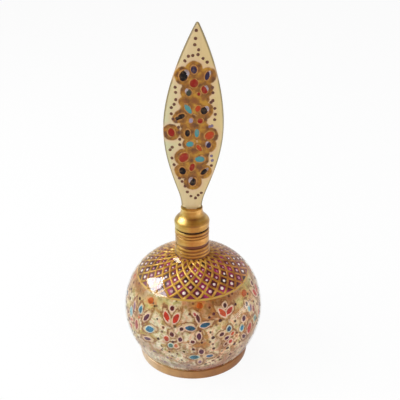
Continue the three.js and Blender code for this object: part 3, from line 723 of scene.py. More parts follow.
def stroke_mesh(name, point):
    """A low dome one unit long and wide; point says how sharp the petal's two ends are."""
    vertices, rise = [], []
    for share, level, climb in STROKE_LEVELS:
        for i in range(STROKE_SIDES):
            angle = math.tau * i / STROKE_SIDES
            width = 1 - point + point * (0.3 * abs(math.sin(angle / 2)) + 0.7 * abs(math.sin(angle)))
            vertices.append((-0.5 * share * math.sin(angle) * width, 0.5 * share * math.cos(angle), level))
            rise.append(climb)
    top, bottom = len(vertices), len(vertices) + 1
    vertices += [(0, 0, 1.0), (0, 0, -0.7)]
    rise += [1.0, 0.0]
    faces = []
    for level in range(len(STROKE_LEVELS)):
        for i in range(STROKE_SIDES):
            low, low_next = level * STROKE_SIDES + i, level * STROKE_SIDES + (i + 1) % STROKE_SIDES
            if level + 1 < len(STROKE_LEVELS):
                faces.append((low, low_next, low_next + STROKE_SIDES, low + STROKE_SIDES))
            else:
                faces.append((low, low_next, top))
            if level == 0:
                faces.append((low_next, low, bottom))
    mesh = bpy.data.meshes.new(name)
    mesh.from_pydata(vertices, [], faces)
    mesh.shade_smooth()
    climb_data = mesh.attributes.new("rise", "FLOAT", "POINT")
    climb_data.data.foreach_set("value", rise)
    return bpy.data.objects.new(name, mesh)


drop_stroke = stroke_mesh("drop_stroke", 0.6)
dot_stroke = stroke_mesh("dot_stroke", 0.0)

strokes, source = new_tree(
    "brush_strokes", Stroke=("Object", None), Tremor=("Float", 0.0007), Paint=("Material", None))
shape = add(strokes, "GeometryNodeObjectInfo", {0: source.outputs["Stroke"]})
turn = add(strokes, "GeometryNodeInputNamedAttribute", {"Name": "facing"}, data_type="FLOAT_VECTOR")
turning = add(strokes, "FunctionNodeEulerToRotation", {0: turn.outputs[0]})
size = add(strokes, "GeometryNodeInputNamedAttribute", {"Name": "size"}, data_type="FLOAT_VECTOR")
laid = add(strokes, "GeometryNodeInstanceOnPoints", {
    "Points": source.outputs["Geometry"], "Instance": shape.outputs["Geometry"], "Rotation": turning.outputs[0],
    "Scale": size.outputs[0]})
real = add(strokes, "GeometryNodeRealizeInstances", {0: laid.outputs[0]})
tremor = add(strokes, "ShaderNodeTexNoise", {"Scale": 1100.0, "Detail": 1.0})
centred = add(strokes, "ShaderNodeVectorMath", {0: tremor.outputs["Color"], 1: (0.5, 0.5, 0.5)}, operation="SUBTRACT")
wobble = add(strokes, "ShaderNodeVectorMath", {0: centred.outputs[0], "Scale": source.outputs["Tremor"]},
             operation="SCALE")
by_hand = add(strokes, "GeometryNodeSetPosition", {0: real.outputs[0], "Offset": wobble.outputs[0]})
coated = add(strokes, "GeometryNodeSetMaterial", {0: by_hand.outputs[0], "Material": source.outputs["Paint"]})
add(strokes, "NodeGroupOutput", {0: coated.outputs[0]})


def brushed(name, marks, stroke, material, tremor=0.0004):
    """Strokes laid as marks: place, across, up, out, turn, width, length, height and colour."""
    mesh = bpy.data.meshes.new(name)
    mesh.from_pydata([mark[0] for mark in marks], [], [])
    facing, sizes, tints = [], [], []
    for _, across, up, out, turn, width, length, height, colour in marks:
        lean = math.radians(turn)
        side = across * math.cos(lean) - up * math.sin(lean)
        ahead = up * math.cos(lean) + across * math.sin(lean)
        facing += Matrix((side, ahead, out)).transposed().to_euler()[:]
        sizes += (width * MM, length * MM, height * MM)
        tints += linear(colour)
    for key, kind, field, values in (
            ("facing", "FLOAT_VECTOR", "vector", facing), ("size", "FLOAT_VECTOR", "vector", sizes),
            ("tint", "FLOAT_COLOR", "color", tints)):
        mesh.attributes.new(key, kind, "POINT").data.foreach_set(field, values)
    return grown(name, mesh, strokes, {"Stroke": stroke, "Tremor": tremor, "Paint": material})


# Gum colours laid thick: full in the middle of a stroke and paler where it thins at the edge.
gum_colour, tree, output = new_material("thick_gum_colour")
tint = add(tree, "ShaderNodeAttribute", attribute_name="tint")
climb = add(tree, "ShaderNodeAttribute", attribute_name="rise")
place = add(tree, "ShaderNodeTexCoord").outputs["Object"]
cloud = add(tree, "ShaderNodeTexNoise", {"Vector": place, "Scale": 900.0, "Detail": 2.0})
full = add(tree, "ShaderNodeMath", {0: climb.outputs["Fac"], 1: cloud.outputs["Fac"]}, operation="ADD")
thinness = add(tree, "ShaderNodeMapRange", {0: full.outputs[0], 1: 0.3, 2: 0.7, 3: 0.18, 4: 0.0})
colour = add(tree, "ShaderNodeMix", {0: thinness.outputs[0], 6: tint.outputs["Color"], 7: linear("#D8B49A")},
             data_type="RGBA")
blotch = add(tree, "ShaderNodeTexNoise", {"Vector": place, "Scale": 520.0, "Detail": 2.0})
wear_and_shade = add(tree, "ShaderNodeValToRGB", {0: blotch.outputs["Fac"]}, stops=((0.35, "#D2C4B4"), (0.55, "#FFFFFF")))
uneven = add(tree, "ShaderNodeMix", {0: 1.0, 6: colour.outputs[2], 7: wear_and_shade.outputs[0]}, data_type="RGBA",
             blend_type="MULTIPLY")
stroke_paint = add(tree, "ShaderNodeBsdfPrincipled", {
    "Base Color": uneven.outputs[2], "Roughness": 0.5, "Specular IOR Level": 0.15})
tree.links.new(stroke_paint.outputs[0], output.inputs[0])

COOL = (SKY, AZURE, NAVY, TEAL, ICE)
outlines, petals, dots = [], [], []
for angle, run, turn, length, width, colour in bulb_marks:
    place = bulb_spot(angle, run, LACQUER_DEPTH)
    if (length > 1.2 * width or width > 1.6) and colour != ORANGE:
        pale = "#CAD8D4" if colour in COOL else "#E8C6B2"
        outlines.append((
            *place, turn, FULLNESS * width + 2 * OUTLINE, 1.06 * length + 2.4 * OUTLINE, DAB_HEIGHT, pale))
    if length > 1.25 * width:
        petals.append((*place, turn, FULLNESS * width, 1.06 * length, PETAL_HEIGHT, colour))
    else:
        dots.append((*place, turn, width, length, PETAL_HEIGHT, colour))
for name, marks, stroke in (
        ("spray_outlines", outlines, drop_stroke), ("spray_petals", petals, drop_stroke),
        ("spray_dots", dots, dot_stroke)):
    piece = brushed(name, marks, stroke, gum_colour)
    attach(piece, "pot")

# Lacquer
# Many coats of clear shellac rubbed smooth over the painted bulb. It fills the relief and gives
# the pot its sharp, glassy highlights and pale rims.
FILM_GAP = 0.02

# Clear shellac: glass-like gloss by angle over a faint amber that warms the paint beneath.
shellac, tree, output = new_material("clear_shellac")
edge_on = add(tree, "ShaderNodeFresnel", {"IOR": 1.5})
side = add(tree, "ShaderNodeNewGeometry")
seen = add(tree, "ShaderNodeMath", {0: 1.0, 1: side.outputs["Backfacing"]}, operation="SUBTRACT")
mirror = add(tree, "ShaderNodeMath", {0: edge_on.outputs[0], 1: seen.outputs[0]}, operation="MULTIPLY")
clear = add(tree, "ShaderNodeBsdfTransparent", {"Color": linear("#FFFEFA")})
gloss = add(tree, "ShaderNodeBsdfGlossy", {"Roughness": 0.06})
film = add(tree, "ShaderNodeMixShader", {0: mirror.outputs[0], 1: clear.outputs[0], 2: gloss.outputs[0]})
tree.links.new(film.outputs[0], output.inputs[0])

lacquer = turned("lacquer_coat", [
    *sunk(0), *reversed(sunk(LACQUER_DEPTH - FILM_GAP))], BULB_SIDES, shellac)
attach(lacquer, "pot")

# Neck tube
# A plain turned tube that lines the neck. The push-fit spigot slides in its bore.
tube_low, tube_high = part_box("neck_tube")
BORE_RADIUS = 4.3
tube = turned("neck_tube_turned", eased(
    (BORE_RADIUS, tube_low.z / MM, 0.2), (tube_high.x / MM, tube_low.z / MM, 0.2),
    (tube_high.x / MM, tube_high.z / MM, 0.2), (BORE_RADIUS, tube_high.z / MM, 0.2)), 64, bare_wood)
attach(tube, "pot")
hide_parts("neck_tube")

# Neck collar and neck ring
# Two turned and gilded rings, glued over the tube. The collar has three beads that flare to the
# bulb and a recess above; the ring has a band and two beads under the mouth.
NECK_SIDES = 128
NECK_RADIUS = 6.8
GROOVE_DEPTH = 0.3
COLLAR_BEADS = 3
RING_BEADS = 2
RECESS_HEIGHT = 1.1
RECESS_DEPTH = 0.5
RING_BEAD = 1.35
RING_TAPER = 0.1


def bead_stack(bottom, count, height, low_crest, high_crest):
    """Beads one over another in millimetres, with a mark from 0 at a crest to 1 in a groove."""
    points = []
    for i in range(count):
        crest = low_crest + (high_crest - low_crest) * i / max(count - 1, 1)
        arc = bead(crest - GROOVE_DEPTH, bottom + i * height, bottom + (i + 1) * height, GROOVE_DEPTH)
        points += [(r, z, 1 - math.sin(math.pi * k / 8)) for k, (r, z) in enumerate(arc)][1 if i else 0:]
    return points


def ring_piece(name, bore, marked):
    """A gilded ring from its outside (radius, height, groove mark) in millimetres and a straight bore."""
    bottom, top = marked[0][1], marked[-1][1]
    marked = [(bore, bottom, 0.6), *marked, (bore, top, 0.6)]
    outline = [(r * MM, z * MM) for r, z, _ in marked]
    # The groove marks set how much dark groove colour each point takes: old varnish, with painted shade in the
    # recesses.
    return turned(name, outline, NECK_SIDES, gilt, grooves=[max(0, g * 1.5 - 0.6) for _, _, g in marked])


collar_low, collar_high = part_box("neck_collar")
collar_bottom, collar_top = collar_low.z / MM, collar_high.z / MM
recess_bottom = collar_top - RECESS_HEIGHT
bead_height = (recess_bottom - collar_bottom) / COLLAR_BEADS
collar = ring_piece("neck_collar_gilded", NECK_HOLE, [
    *bead_stack(collar_bottom, COLLAR_BEADS, bead_height, COLLAR_RADIUS, NECK_RADIUS),
    (NECK_RADIUS - RECESS_DEPTH, recess_bottom + 0.02, 1.0), (NECK_RADIUS - RECESS_DEPTH, collar_top, 1.0)])
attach(collar, "pot")
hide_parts("neck_collar")

ring_low, ring_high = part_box("neck_ring")
ring_bottom, ring_top = ring_low.z / MM, ring_high.z / MM
band_top = ring_top - RING_BEADS * RING_BEAD
ring = ring_piece("neck_ring_gilded", NECK_HOLE, [
    (NECK_RADIUS - RING_TAPER - 0.25, ring_bottom, 1.0), (NECK_RADIUS - RING_TAPER, ring_bottom + 0.25, 0.0),
    (NECK_RADIUS - 0.15, band_top - 0.3, 0.0), (NECK_RADIUS - 0.2, band_top - 0.1, 0.4),
    *bead_stack(band_top, RING_BEADS, RING_BEAD, NECK_RADIUS, NECK_RADIUS)])
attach(ring, "pot")
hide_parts("neck_ring")

# Seal washer
# A thin washer of dark leather between the mouth and the stopper, seen as a dark line.
washer_low, washer_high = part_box("seal_washer")

# Vegetable-tanned leather, blackened: matt, with a fine grain about 0.3 mm across.
leather, tree, output = new_material("blackened_leather")
place = add(tree, "ShaderNodeTexCoord").outputs["Object"]
grain = add(tree, "ShaderNodeTexVoronoi", {"Vector": place, "Scale": 3300.0})
colour = add(tree, "ShaderNodeValToRGB", {0: grain.outputs["Distance"]}, stops=((0.1, "#3A2416"), (0.6, "#1E120B")))
relief = add(tree, "ShaderNodeBump", {"Strength": 0.5, "Distance": 0.0001, "Height": grain.outputs["Distance"]})
hide = add(tree, "ShaderNodeBsdfPrincipled", {
    "Base Color": colour.outputs[0], "Roughness": 0.7, "Normal": relief.outputs[0]})
tree.links.new(hide.outputs[0], output.inputs[0])

washer = turned("seal_washer_leather", eased(
    (BORE_RADIUS, washer_low.z / MM, 0.1), (washer_high.x / MM, washer_low.z / MM, 0.15),
    (washer_high.x / MM, washer_high.z / MM, 0.15), (BORE_RADIUS, washer_high.z / MM, 0.1)), NECK_SIDES, leather)
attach(washer, "seal")
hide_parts("seal_washer")

# Stopper cap
# A gilded cap of turned wood with a band, a domed shoulder and a waisted collet. The spigot is
# glued in a socket beneath, and the leaf in one on top.
CAP_TAPER = 0.2
CAP_BAND = 2.5
CAP_SHOULDER = 2.4
CAP_FULLNESS = 1.6
COLLET_RADIUS = 4.25
COLLET_FLARE = 0.95
COLLET_SWEEP = 3
COLLET_HEIGHT = 3.5
SPIGOT_SOCKET = 4.3
SPIGOT_SOCKET_DEPTH = 3.1
LEAF_SOCKET = 3.45
LEAF_SOCKET_DEPTH = 3.7
SLOT_HALF_WIDTH = 2.75
SLOT_HALF_DEPTH = 2.05

cap_low, cap_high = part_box("stopper_cap")
cap_bottom, cap_top, cap_radius = cap_low.z / MM, cap_high.z / MM, cap_high.x / MM
cap_band_top = cap_bottom + CAP_BAND
collet_bottom = cap_band_top + CAP_SHOULDER
collet_foot = COLLET_RADIUS + COLLET_FLARE
# The third number of each point is its groove mark, the share of dark groove colour it takes: old varnish with painted
# shade, here in the creases at the band and at the collet's foot.
marked = [
    (0, cap_bottom + SPIGOT_SOCKET_DEPTH, 1), (SPIGOT_SOCKET, cap_bottom + SPIGOT_SOCKET_DEPTH, 1),
    (SPIGOT_SOCKET, cap_bottom, 1), (cap_radius - CAP_TAPER - 0.35, cap_bottom, 0.8),
    (cap_radius - CAP_TAPER, cap_bottom + 0.35, 0.1),
]
for k in range(13):
    share = k / 12
    fall = (cap_radius - collet_foot) * share ** CAP_FULLNESS
    marked.append((cap_radius - fall, cap_band_top + CAP_SHOULDER * share,
                   0.35 * share ** 6 + (0.4 * (1 - share) ** 3 if k else 0)))
for k in range(1, 9):
    share = k / 8
    marked.append((COLLET_RADIUS + COLLET_FLARE * (1 - share) ** COLLET_SWEEP, collet_bottom + COLLET_HEIGHT * share,
                   0.35 * (1 - share) ** 3))
marked += [
    (LEAF_SOCKET, cap_top, 0), (LEAF_SOCKET, cap_top - LEAF_SOCKET_DEPTH, 1), (0, cap_top - LEAF_SOCKET_DEPTH, 1)]
cap = turned("stopper_cap_gilded", [(r * MM, z * MM) for r, z, _ in marked], NECK_SIDES, gilt,
             grooves=[g for _, _, g in marked])
for corner in cap.data.vertices:
    x, y, z = corner.co / MM
    if z > cap_top - LEAF_SOCKET_DEPTH - 0.01 and abs(math.hypot(x, y) - LEAF_SOCKET) < 0.01:
        slot = ((abs(x) / SLOT_HALF_WIDTH) ** 3 + (abs(y) / SLOT_HALF_DEPTH) ** 3) ** (-1 / 3)
        corner.co.x, corner.co.y = x * slot * MM, y * slot * MM
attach(cap, "stopper")
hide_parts("stopper_cap")

# Spigot and kohl rod
# A plug of bone that pushes into the neck, and the bone rod set in it, whose rounded tip takes
# up the kohl.
BONE = "#E6D9B8"
BONE_WARM = "#D8BE8E"
BONE_DARK = "#B99660"
ROD_HOLE = 1.7
ROD_GRIP = 7.3

# Camel bone, sawn and polished: cream, with fine darker canals along its length.
bone, tree, output = new_material("polished_bone")
place = add(tree, "ShaderNodeTexCoord").outputs["Object"]
canals = add(tree, "ShaderNodeMapping", {"Vector": place, "Scale": (3200, 3200, 160)})
streak = add(tree, "ShaderNodeTexNoise", {"Vector": canals.outputs[0], "Scale": 1.0, "Detail": 2.0})
cloud = add(tree, "ShaderNodeTexNoise", {"Vector": place, "Scale": 90.0, "Detail": 2.0})
cream = add(tree, "ShaderNodeMix", {0: cloud.outputs["Fac"], 6: linear(BONE), 7: linear(BONE_WARM)}, data_type="RGBA")
faint = add(tree, "ShaderNodeMapRange", {0: streak.outputs["Fac"], 1: 0.55, 2: 0.75, 4: 0.35})
colour = add(tree, "ShaderNodeMix", {0: faint.outputs[0], 6: cream.outputs[2], 7: linear(BONE_DARK)}, data_type="RGBA")
polish = add(tree, "ShaderNodeBsdfPrincipled", {
    "Base Color": colour.outputs[2], "Roughness": 0.32, "Subsurface Weight": 0.08,
    "Subsurface Radius": (0.003, 0.002, 0.001), "Subsurface Scale": 1.0})
tree.links.new(polish.outputs[0], output.inputs[0])

spigot_low, spigot_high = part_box("spigot")
spigot_radius = spigot_high.x / MM
spigot = turned("spigot_bone", eased(
    (0, spigot_low.z / MM + ROD_GRIP, 0), (ROD_HOLE, spigot_low.z / MM + ROD_GRIP, 0),
    (ROD_HOLE, spigot_low.z / MM, 0.2), (spigot_radius, spigot_low.z / MM, 0.6),
    (spigot_radius, spigot_high.z / MM, 0.3), (0, spigot_high.z / MM, 0)), 64, bone)
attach(spigot, "stopper")
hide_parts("spigot")

rod_low, rod_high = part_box("applicator_rod")
rod_radius = rod_high.x
tip = [(rod_radius * math.sin(k * math.pi / 16), rod_low.z + rod_radius * (1 - math.cos(k * math.pi / 16)))
       for k in range(1, 9)]
rod = turned("kohl_rod_bone", [
    (0, rod_low.z), *tip, (rod_radius, rod_high.z - 0.2 * MM), (rod_radius - 0.2 * MM, rod_high.z), (0, rod_high.z)],
    48, bone)
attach(rod, "stopper")
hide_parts("applicator_rod")

# Leaf
# The flat grip: a leaf sawn from bone, its faces slightly crowned and its edges rubbed round,
# set by a tongue in the collet and leaning a little to one side.
LEAF_HALF_WIDTH = 11.3
LEAF_BELLY = 33
LEAF_STEM_HALF = 3.95
LEAF_STEM_HEIGHT = 8.5
LEAF_STEM_FLARE = 2.1
LEAF_TIP_HALF = 0.45
LEAF_TIP_OFFSET = 0.6
LEAF_LENGTH = 73
LEAF_HALF_THICKNESS = 1.86
LEAF_FACE_FULLNESS = 2.9
LEAF_LEAN = math.radians(1.9)
LEAF_SHOULDER_GAP = 0.45
TONGUE_HALF = 2.65
TONGUE_LENGTH = 3.85
LEAF_ROWS = 200
LEAF_COLUMNS = 80


def leaf_edge(side):
    """Places along one edge as (across, height) in millimetres, from the stem to the tip."""
    stem_top = LEAF_STEM_HALF + LEAF_STEM_FLARE
    tip_x = LEAF_TIP_OFFSET + side * LEAF_TIP_HALF
    taper, rise = LEAF_LENGTH - LEAF_BELLY, LEAF_BELLY - LEAF_STEM_HEIGHT
    parts = (
        ((side * LEAF_STEM_HALF, 0), (side * LEAF_STEM_HALF, 0.35 * LEAF_STEM_HEIGHT),
         (side * (stem_top - 0.55 * LEAF_STEM_FLARE), 0.63 * LEAF_STEM_HEIGHT), (side * stem_top, LEAF_STEM_HEIGHT)),
        ((side * stem_top, LEAF_STEM_HEIGHT), (side * (stem_top + LEAF_STEM_FLARE), LEAF_STEM_HEIGHT + 0.24 * rise),
         (side * LEAF_HALF_WIDTH, LEAF_STEM_HEIGHT + 0.59 * rise), (side * LEAF_HALF_WIDTH, LEAF_BELLY)),
        ((side * LEAF_HALF_WIDTH, LEAF_BELLY), (side * LEAF_HALF_WIDTH, LEAF_BELLY + 0.3 * taper),
         (tip_x + side * 0.6 * LEAF_HALF_WIDTH, LEAF_BELLY + 0.65 * taper), (tip_x, LEAF_LENGTH)),
    )
    t = np.linspace(0, 1, 60)[:, None]
    return np.concatenate([
        (1 - t) ** 3 * np.array(a) + 3 * t * (1 - t) ** 2 * np.array(b)
        + 3 * t ** 2 * (1 - t) * np.array(c) + t ** 3 * np.array(d) for a, b, c, d in parts])


left_edge, right_edge = leaf_edge(-1), leaf_edge(1)


def leaf_section(height):
    """Middle, half width and half thickness of the leaf at a height, in millimetres."""
    left = np.interp(height, left_edge[:, 1], left_edge[:, 0])
    right = np.interp(height, right_edge[:, 1], right_edge[:, 0])
    half = (right - left) / 2
    return (left + right) / 2, half, LEAF_HALF_THICKNESS * min(1, (half / 3) ** 0.5)


def leaf_crown(share):
    """How full the leaf is at a share of its half width from the middle: 1 there and 0 at the edge."""
    return max(0, 1 - abs(share) ** LEAF_FACE_FULLNESS) ** (1 / LEAF_FACE_FULLNESS)


leaf_low, leaf_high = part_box("leaf_blade")
pivot = Vector((0, 0, cap_high.z + LEAF_SHOULDER_GAP * MM))
leaf_across = Vector((math.cos(LEAF_LEAN), 0, -math.sin(LEAF_LEAN)))
leaf_up = Vector((math.sin(LEAF_LEAN), 0, math.cos(LEAF_LEAN)))


def leaf_place(across, depth, height):
    """A place in the leaf's own millimetres as one in the frame."""
    return pivot + (leaf_across * across + leaf_up * height + Vector((0, depth, 0))) * MM


# Rows of the leaf: height, share of the half width, and half width where it isn't the leaf's own
rows = [(-TONGUE_LENGTH, 0.86, TONGUE_HALF), (-TONGUE_LENGTH + 0.3, 1, TONGUE_HALF), (-0.02, 1, TONGUE_HALF),
        (0, 1, LEAF_STEM_HALF - 0.25), (0.06, 1, LEAF_STEM_HALF - 0.08), (0.25, 1, None)]
rows += [(0.25 + (LEAF_LENGTH - 0.65) * k / LEAF_ROWS, 1, None) for k in range(1, LEAF_ROWS + 1)]
rows += [(LEAF_LENGTH - 0.2, 0.8, None), (LEAF_LENGTH - 0.06, 0.45, None)]
turns = np.linspace(-math.pi / 2, math.pi / 2, LEAF_COLUMNS + 1)
ring_shares = [(math.sin(a), -1) for a in turns[:-1]] + [(-math.sin(a), 1) for a in turns[:-1]]
around = len(ring_shares)
vertices, flat, to_rim = [], [], []
for height, shrink, own_half in rows:
    middle, half, thickness = leaf_section(max(height, 0))
    if own_half:
        middle, half = 0, own_half
    for share, side in ring_shares:
        across = middle + half * shrink * share
        depth = side * thickness * shrink * leaf_crown(share)
        vertices.append(leaf_place(across, depth, height))
        flat.append((-side * across, height))
        to_rim.append(half * (1 - abs(share)))
faces = []
for row in range(len(rows) - 1):
    for i in range(around):
        j = (i + 1) % around
        low, high = row * around, (row + 1) * around
        faces.append((low + i, low + j, high + j, high + i))
bottom, top = len(vertices), len(vertices) + 1
vertices += [leaf_place(0, 0, -TONGUE_LENGTH), leaf_place(LEAF_TIP_OFFSET, 0, LEAF_LENGTH)]
flat += [(0, -TONGUE_LENGTH), (0, LEAF_LENGTH)]
to_rim += [0, 0]
last = (len(rows) - 1) * around
for i in range(around):
    j = (i + 1) % around
    faces.append((j, i, bottom))
    faces.append((last + i, last + j, top))

# Roundels painted on both faces: across and height in millimetres, radius, drop colour, drop
# width, length and turn, and the side on which a pale crescent, a painted highlight on the drop, is
# left (0 for none)
RUBY, VERMILION, SEA, ONYX, INDIGO, MOSS = "#921F12", "#B5421C", "#4C9092", "#0E0709", "#2C2440", "#3E4034"
ROUNDELS = (
    (-4.0, 53.5, 3.4, ONYX, 3.3, 4.4, 12, 1), (-0.3, 55.9, 3.3, INDIGO, 2.4, 3.2, -8, 0),
    (4.6, 53.7, 3.2, INDIGO, 1.9, 3.5, 14, 1), (-0.2, 50.8, 2.9, RUBY, 3.1, 3.4, 30, 0),
    (3.7, 48.3, 3.1, RUBY, 2.3, 3.2, -20, 1), (1.7, 46.7, 1.6, RUBY, 1.2, 1.3, 0, 0),
    (-2.0, 47.2, 3.1, MOSS, 2.3, 2.9, 0, -1), (-2.1, 40.8, 2.9, SEA, 2.0, 4.5, -36, 0),
    (1.5, 41.0, 2.6, VERMILION, 2.0, 2.6, 20, 0), (3.8, 40.3, 3.4, ONYX, 2.9, 3.3, 18, 1),
    (-4.6, 37.8, 2.7, ONYX, 2.1, 3.1, 60, 0), (-6.1, 37.0, 1.9, ONYX, 1.5, 1.7, 0, 0),
    (2.4, 36.2, 2.5, RUBY, 2.1, 2.2, 0, 0), (-1.0, 36.3, 2.4, "#9C90A6", 1.6, 2.0, 0, 0),
    (-8.2, 31.3, 3.2, RUBY, 2.6, 3.6, -10, 0), (-2.2, 31.2, 2.7, ONYX, 2.1, 3.1, 0, 0),
    (1.3, 31.3, 2.7, SEA, 1.9, 3.6, 0, 0), (6.0, 30.4, 3.2, VERMILION, 3.0, 4.0, 50, 0),
    (-1.2, 26.8, 2.7, SEA, 2.4, 3.0, 80, 0), (2.3, 25.3, 2.4, VERMILION, 1.6, 3.0, -35, 0),
    (5.8, 26.5, 3.0, INDIGO, 2.1, 2.7, 10, -1), (-3.4, 21.3, 3.5, "#9C2E20", 3.4, 4.4, 40, 0),
    (2.7, 20.7, 3.3, SEA, 2.7, 3.9, 88, 0), (-0.2, 17.3, 2.6, RUBY, 2.0, 3.4, 15, 0),
    (-3.8, 15.7, 3.1, ONYX, 2.7, 3.4, -12, 0), (4.4, 15.5, 3.0, ONYX, 1.9, 3.7, 44, 1),
    (0.2, 11.2, 3.4, ONYX, 2.7, 3.6, 12, -1),
)
# Gold ochre that fills the gaps among the roundels: across, height and radius
FILLINGS = (
    (0.4, 44.0, 2.6), (-3.4, 43.6, 2.3), (3.4, 44.6, 2.2), (-2.6, 50.0, 1.8), (2.2, 52.6, 2.0), (-0.8, 34.2, 2.2),
    (3.6, 33.6, 2.2), (3.6, 28.4, 2.0), (0.6, 23.6, 2.2), (4.2, 23.6, 2.0), (0.6, 14.2, 2.0), (-3.2, 34.6, 1.8),
    (-0.6, 29.0, 2.0), (-2.6, 18.4, 1.8), (2.6, 17.8, 1.8),
)
flat = np.array(flat)
to_roundel = np.full(len(flat), 9.0)
for across, height, radius in [mark[:3] for mark in ROUNDELS] + list(FILLINGS):
    to_roundel = np.minimum(to_roundel, np.hypot(flat[:, 0] - across, flat[:, 1] - height) - radius)

# The same bone, yellowed, with the light painted across it: paler and greenish at its left edge, on
# the -X side where the window light falls, and ochre at its right; a brown line painted along the
# sawn rim as the shade on its rounded edge, and a wash of gold ochre in the roundels, redder towards
# their middles.
painted_bone, tree, output = new_material("painted_bone")
place = add(tree, "ShaderNodeTexCoord").outputs["Object"]
canals = add(tree, "ShaderNodeMapping", {"Vector": place, "Scale": (2400, 2400, 120)})
streak = add(tree, "ShaderNodeTexNoise", {"Vector": canals.outputs[0], "Scale": 1.0, "Detail": 2.0})
cloud = add(tree, "ShaderNodeTexNoise", {"Vector": place, "Scale": 70.0, "Detail": 3.0})
parts = add(tree, "ShaderNodeSeparateXYZ", {0: place})
drift = add(tree, "ShaderNodeMapRange", {0: cloud.outputs["Fac"], 3: -0.004, 4: 0.004})
sideways = add(tree, "ShaderNodeMath", {0: parts.outputs["X"], 1: drift.outputs[0]}, operation="ADD")
side = add(tree, "ShaderNodeMapRange", {0: sideways.outputs[0], 1: -0.0115, 2: 0.0115})
# Painted light by X: cool and greenish at the -X edge, ochre at +X.
bone_tone_side_lit = add(tree, "ShaderNodeValToRGB", {0: side.outputs[0]}, stops=(
    (0.05, "#CCCEA8"), (0.25, "#D8C796"), (0.5, "#DCC394"), (0.78, "#DCC088"), (1.0, "#DAC286")))
faint = add(tree, "ShaderNodeMapRange", {0: streak.outputs["Fac"], 1: 0.55, 2: 0.8, 4: 0.2})
side_lit_tone = add(tree, "ShaderNodeMix", {0: faint.outputs[0], 6: bone_tone_side_lit.outputs[0], 7: linear(BONE_DARK)},
           data_type="RGBA")
edge = add(tree, "ShaderNodeAttribute", attribute_name="rim")
# Painted shade: a brown line along the rim, full within 0.2 mm and gone by 0.75 mm, as the shade on the rounded edge.
rim_shade = add(tree, "ShaderNodeMapRange", {0: edge.outputs["Fac"], 1: 0.75, 2: 0.2, 4: 0.9})
rim_shaded = add(tree, "ShaderNodeMix", {0: rim_shade.outputs[0], 6: side_lit_tone.outputs[2], 7: linear("#6E5C2A")},
             data_type="RGBA")
brush = add(tree, "ShaderNodeTexNoise", {"Vector": place, "Scale": 420.0, "Detail": 3.0})
away = add(tree, "ShaderNodeAttribute", attribute_name="roundel")
ragged = add(tree, "ShaderNodeMath", {0: brush.outputs["Fac"], 1: 0.9, 2: away.outputs["Fac"]}, operation="MULTIPLY_ADD")
warmth = add(tree, "ShaderNodeMapRange", {0: ragged.outputs[0], 1: 2.2, 2: 0.6, 4: 0.6})
warmed = add(tree, "ShaderNodeMix", {0: warmth.outputs[0], 6: rim_shaded.outputs[2], 7: linear("#DDB692")},
             data_type="RGBA")
covered = add(tree, "ShaderNodeMapRange", {0: ragged.outputs[0], 1: 0.7, 2: 0.3})
wash = add(tree, "ShaderNodeValToRGB", {0: brush.outputs["Fac"]},
           stops=((0.34, "#663A06"), (0.5, "#9A620A"), (0.64, "#BA861E")))
inner = add(tree, "ShaderNodeMapRange", {0: ragged.outputs[0], 1: -0.5, 2: -1.5, 4: 0.75})
reddened = add(tree, "ShaderNodeMix", {0: inner.outputs[0], 6: wash.outputs[0], 7: linear("#8A4C12")}, data_type="RGBA")
colour = add(tree, "ShaderNodeMix", {0: covered.outputs[0], 6: warmed.outputs[2], 7: reddened.outputs[2]},
             data_type="RGBA")
relief = add(tree, "ShaderNodeBump", {"Strength": 0.15, "Distance": 0.0001, "Height": brush.outputs["Fac"]})
polish = add(tree, "ShaderNodeBsdfPrincipled", {
    "Base Color": colour.outputs[2], "Roughness": 0.34, "Normal": relief.outputs[0], "Subsurface Weight": 0.08,
    "Subsurface Radius": (0.003, 0.002, 0.001), "Subsurface Scale": 1.0})
tree.links.new(polish.outputs[0], output.inputs[0])

leaf = new_piece("leaf_bone", vertices, faces, painted_bone)
leaf.data.attributes.new("roundel", "FLOAT", "POINT").data.foreach_set("value", to_roundel)
leaf.data.attributes.new("rim", "FLOAT", "POINT").data.foreach_set("value", to_rim)
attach(leaf, "stopper")
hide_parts("leaf_blade")

# Drops and dots on the leaf
# Drops of thick enamel-like colour on a dab of tan in each roundel, some with a pale crescent as a
# painted highlight, and rows of small mauve-brown dots round the roundels. Both faces are painted alike.
DROP_HEIGHT = 0.12
DOT_SIZE = 1.25
DOT_BROWN = "#664236"
DOT_LILAC = "#7E7088"
DOTS = (
    (0.2, 70.3), (0.0, 67.5), (-0.2, 65.2), (1.2, 63.4), (-3.6, 59.1), (-2.4, 60.9), (-0.8, 61.2), (1.0, 61.6),
    (2.9, 60.2), (4.4, 58.8), (-7.0, 49.0), (-6.8, 47.1), (-6.7, 44.3), (-7.3, 42.4), (-8.3, 41.1), (-8.3, 38.7),
    (-7.6, 36.7), (-6.6, 35.8), (-5.6, 33.5), (-5.3, 31.5), (-5.0, 28.7), (-5.0, 26.5), (-7.8, 25.3), (-8.6, 24.2),
    (-7.9, 20.8), (-7.0, 18.1), (-5.0, 12.5), (-3.9, 11.2), (-2.7, 9.2), (-1.8, 6.8), (-0.4, 5.0), (1.4, 4.3),
    (2.4, 5.5), (3.6, 6.4), (6.6, 49.2), (6.8, 47.2), (6.2, 43.5), (6.9, 44.2), (7.7, 41.1), (7.9, 38.8), (7.8, 36.7),
    (7.1, 18.0),
)
LILAC_DOTS = ((6.0, 34.0), (6.8, 34.3), (7.0, 22.0), (7.4, 20.1))

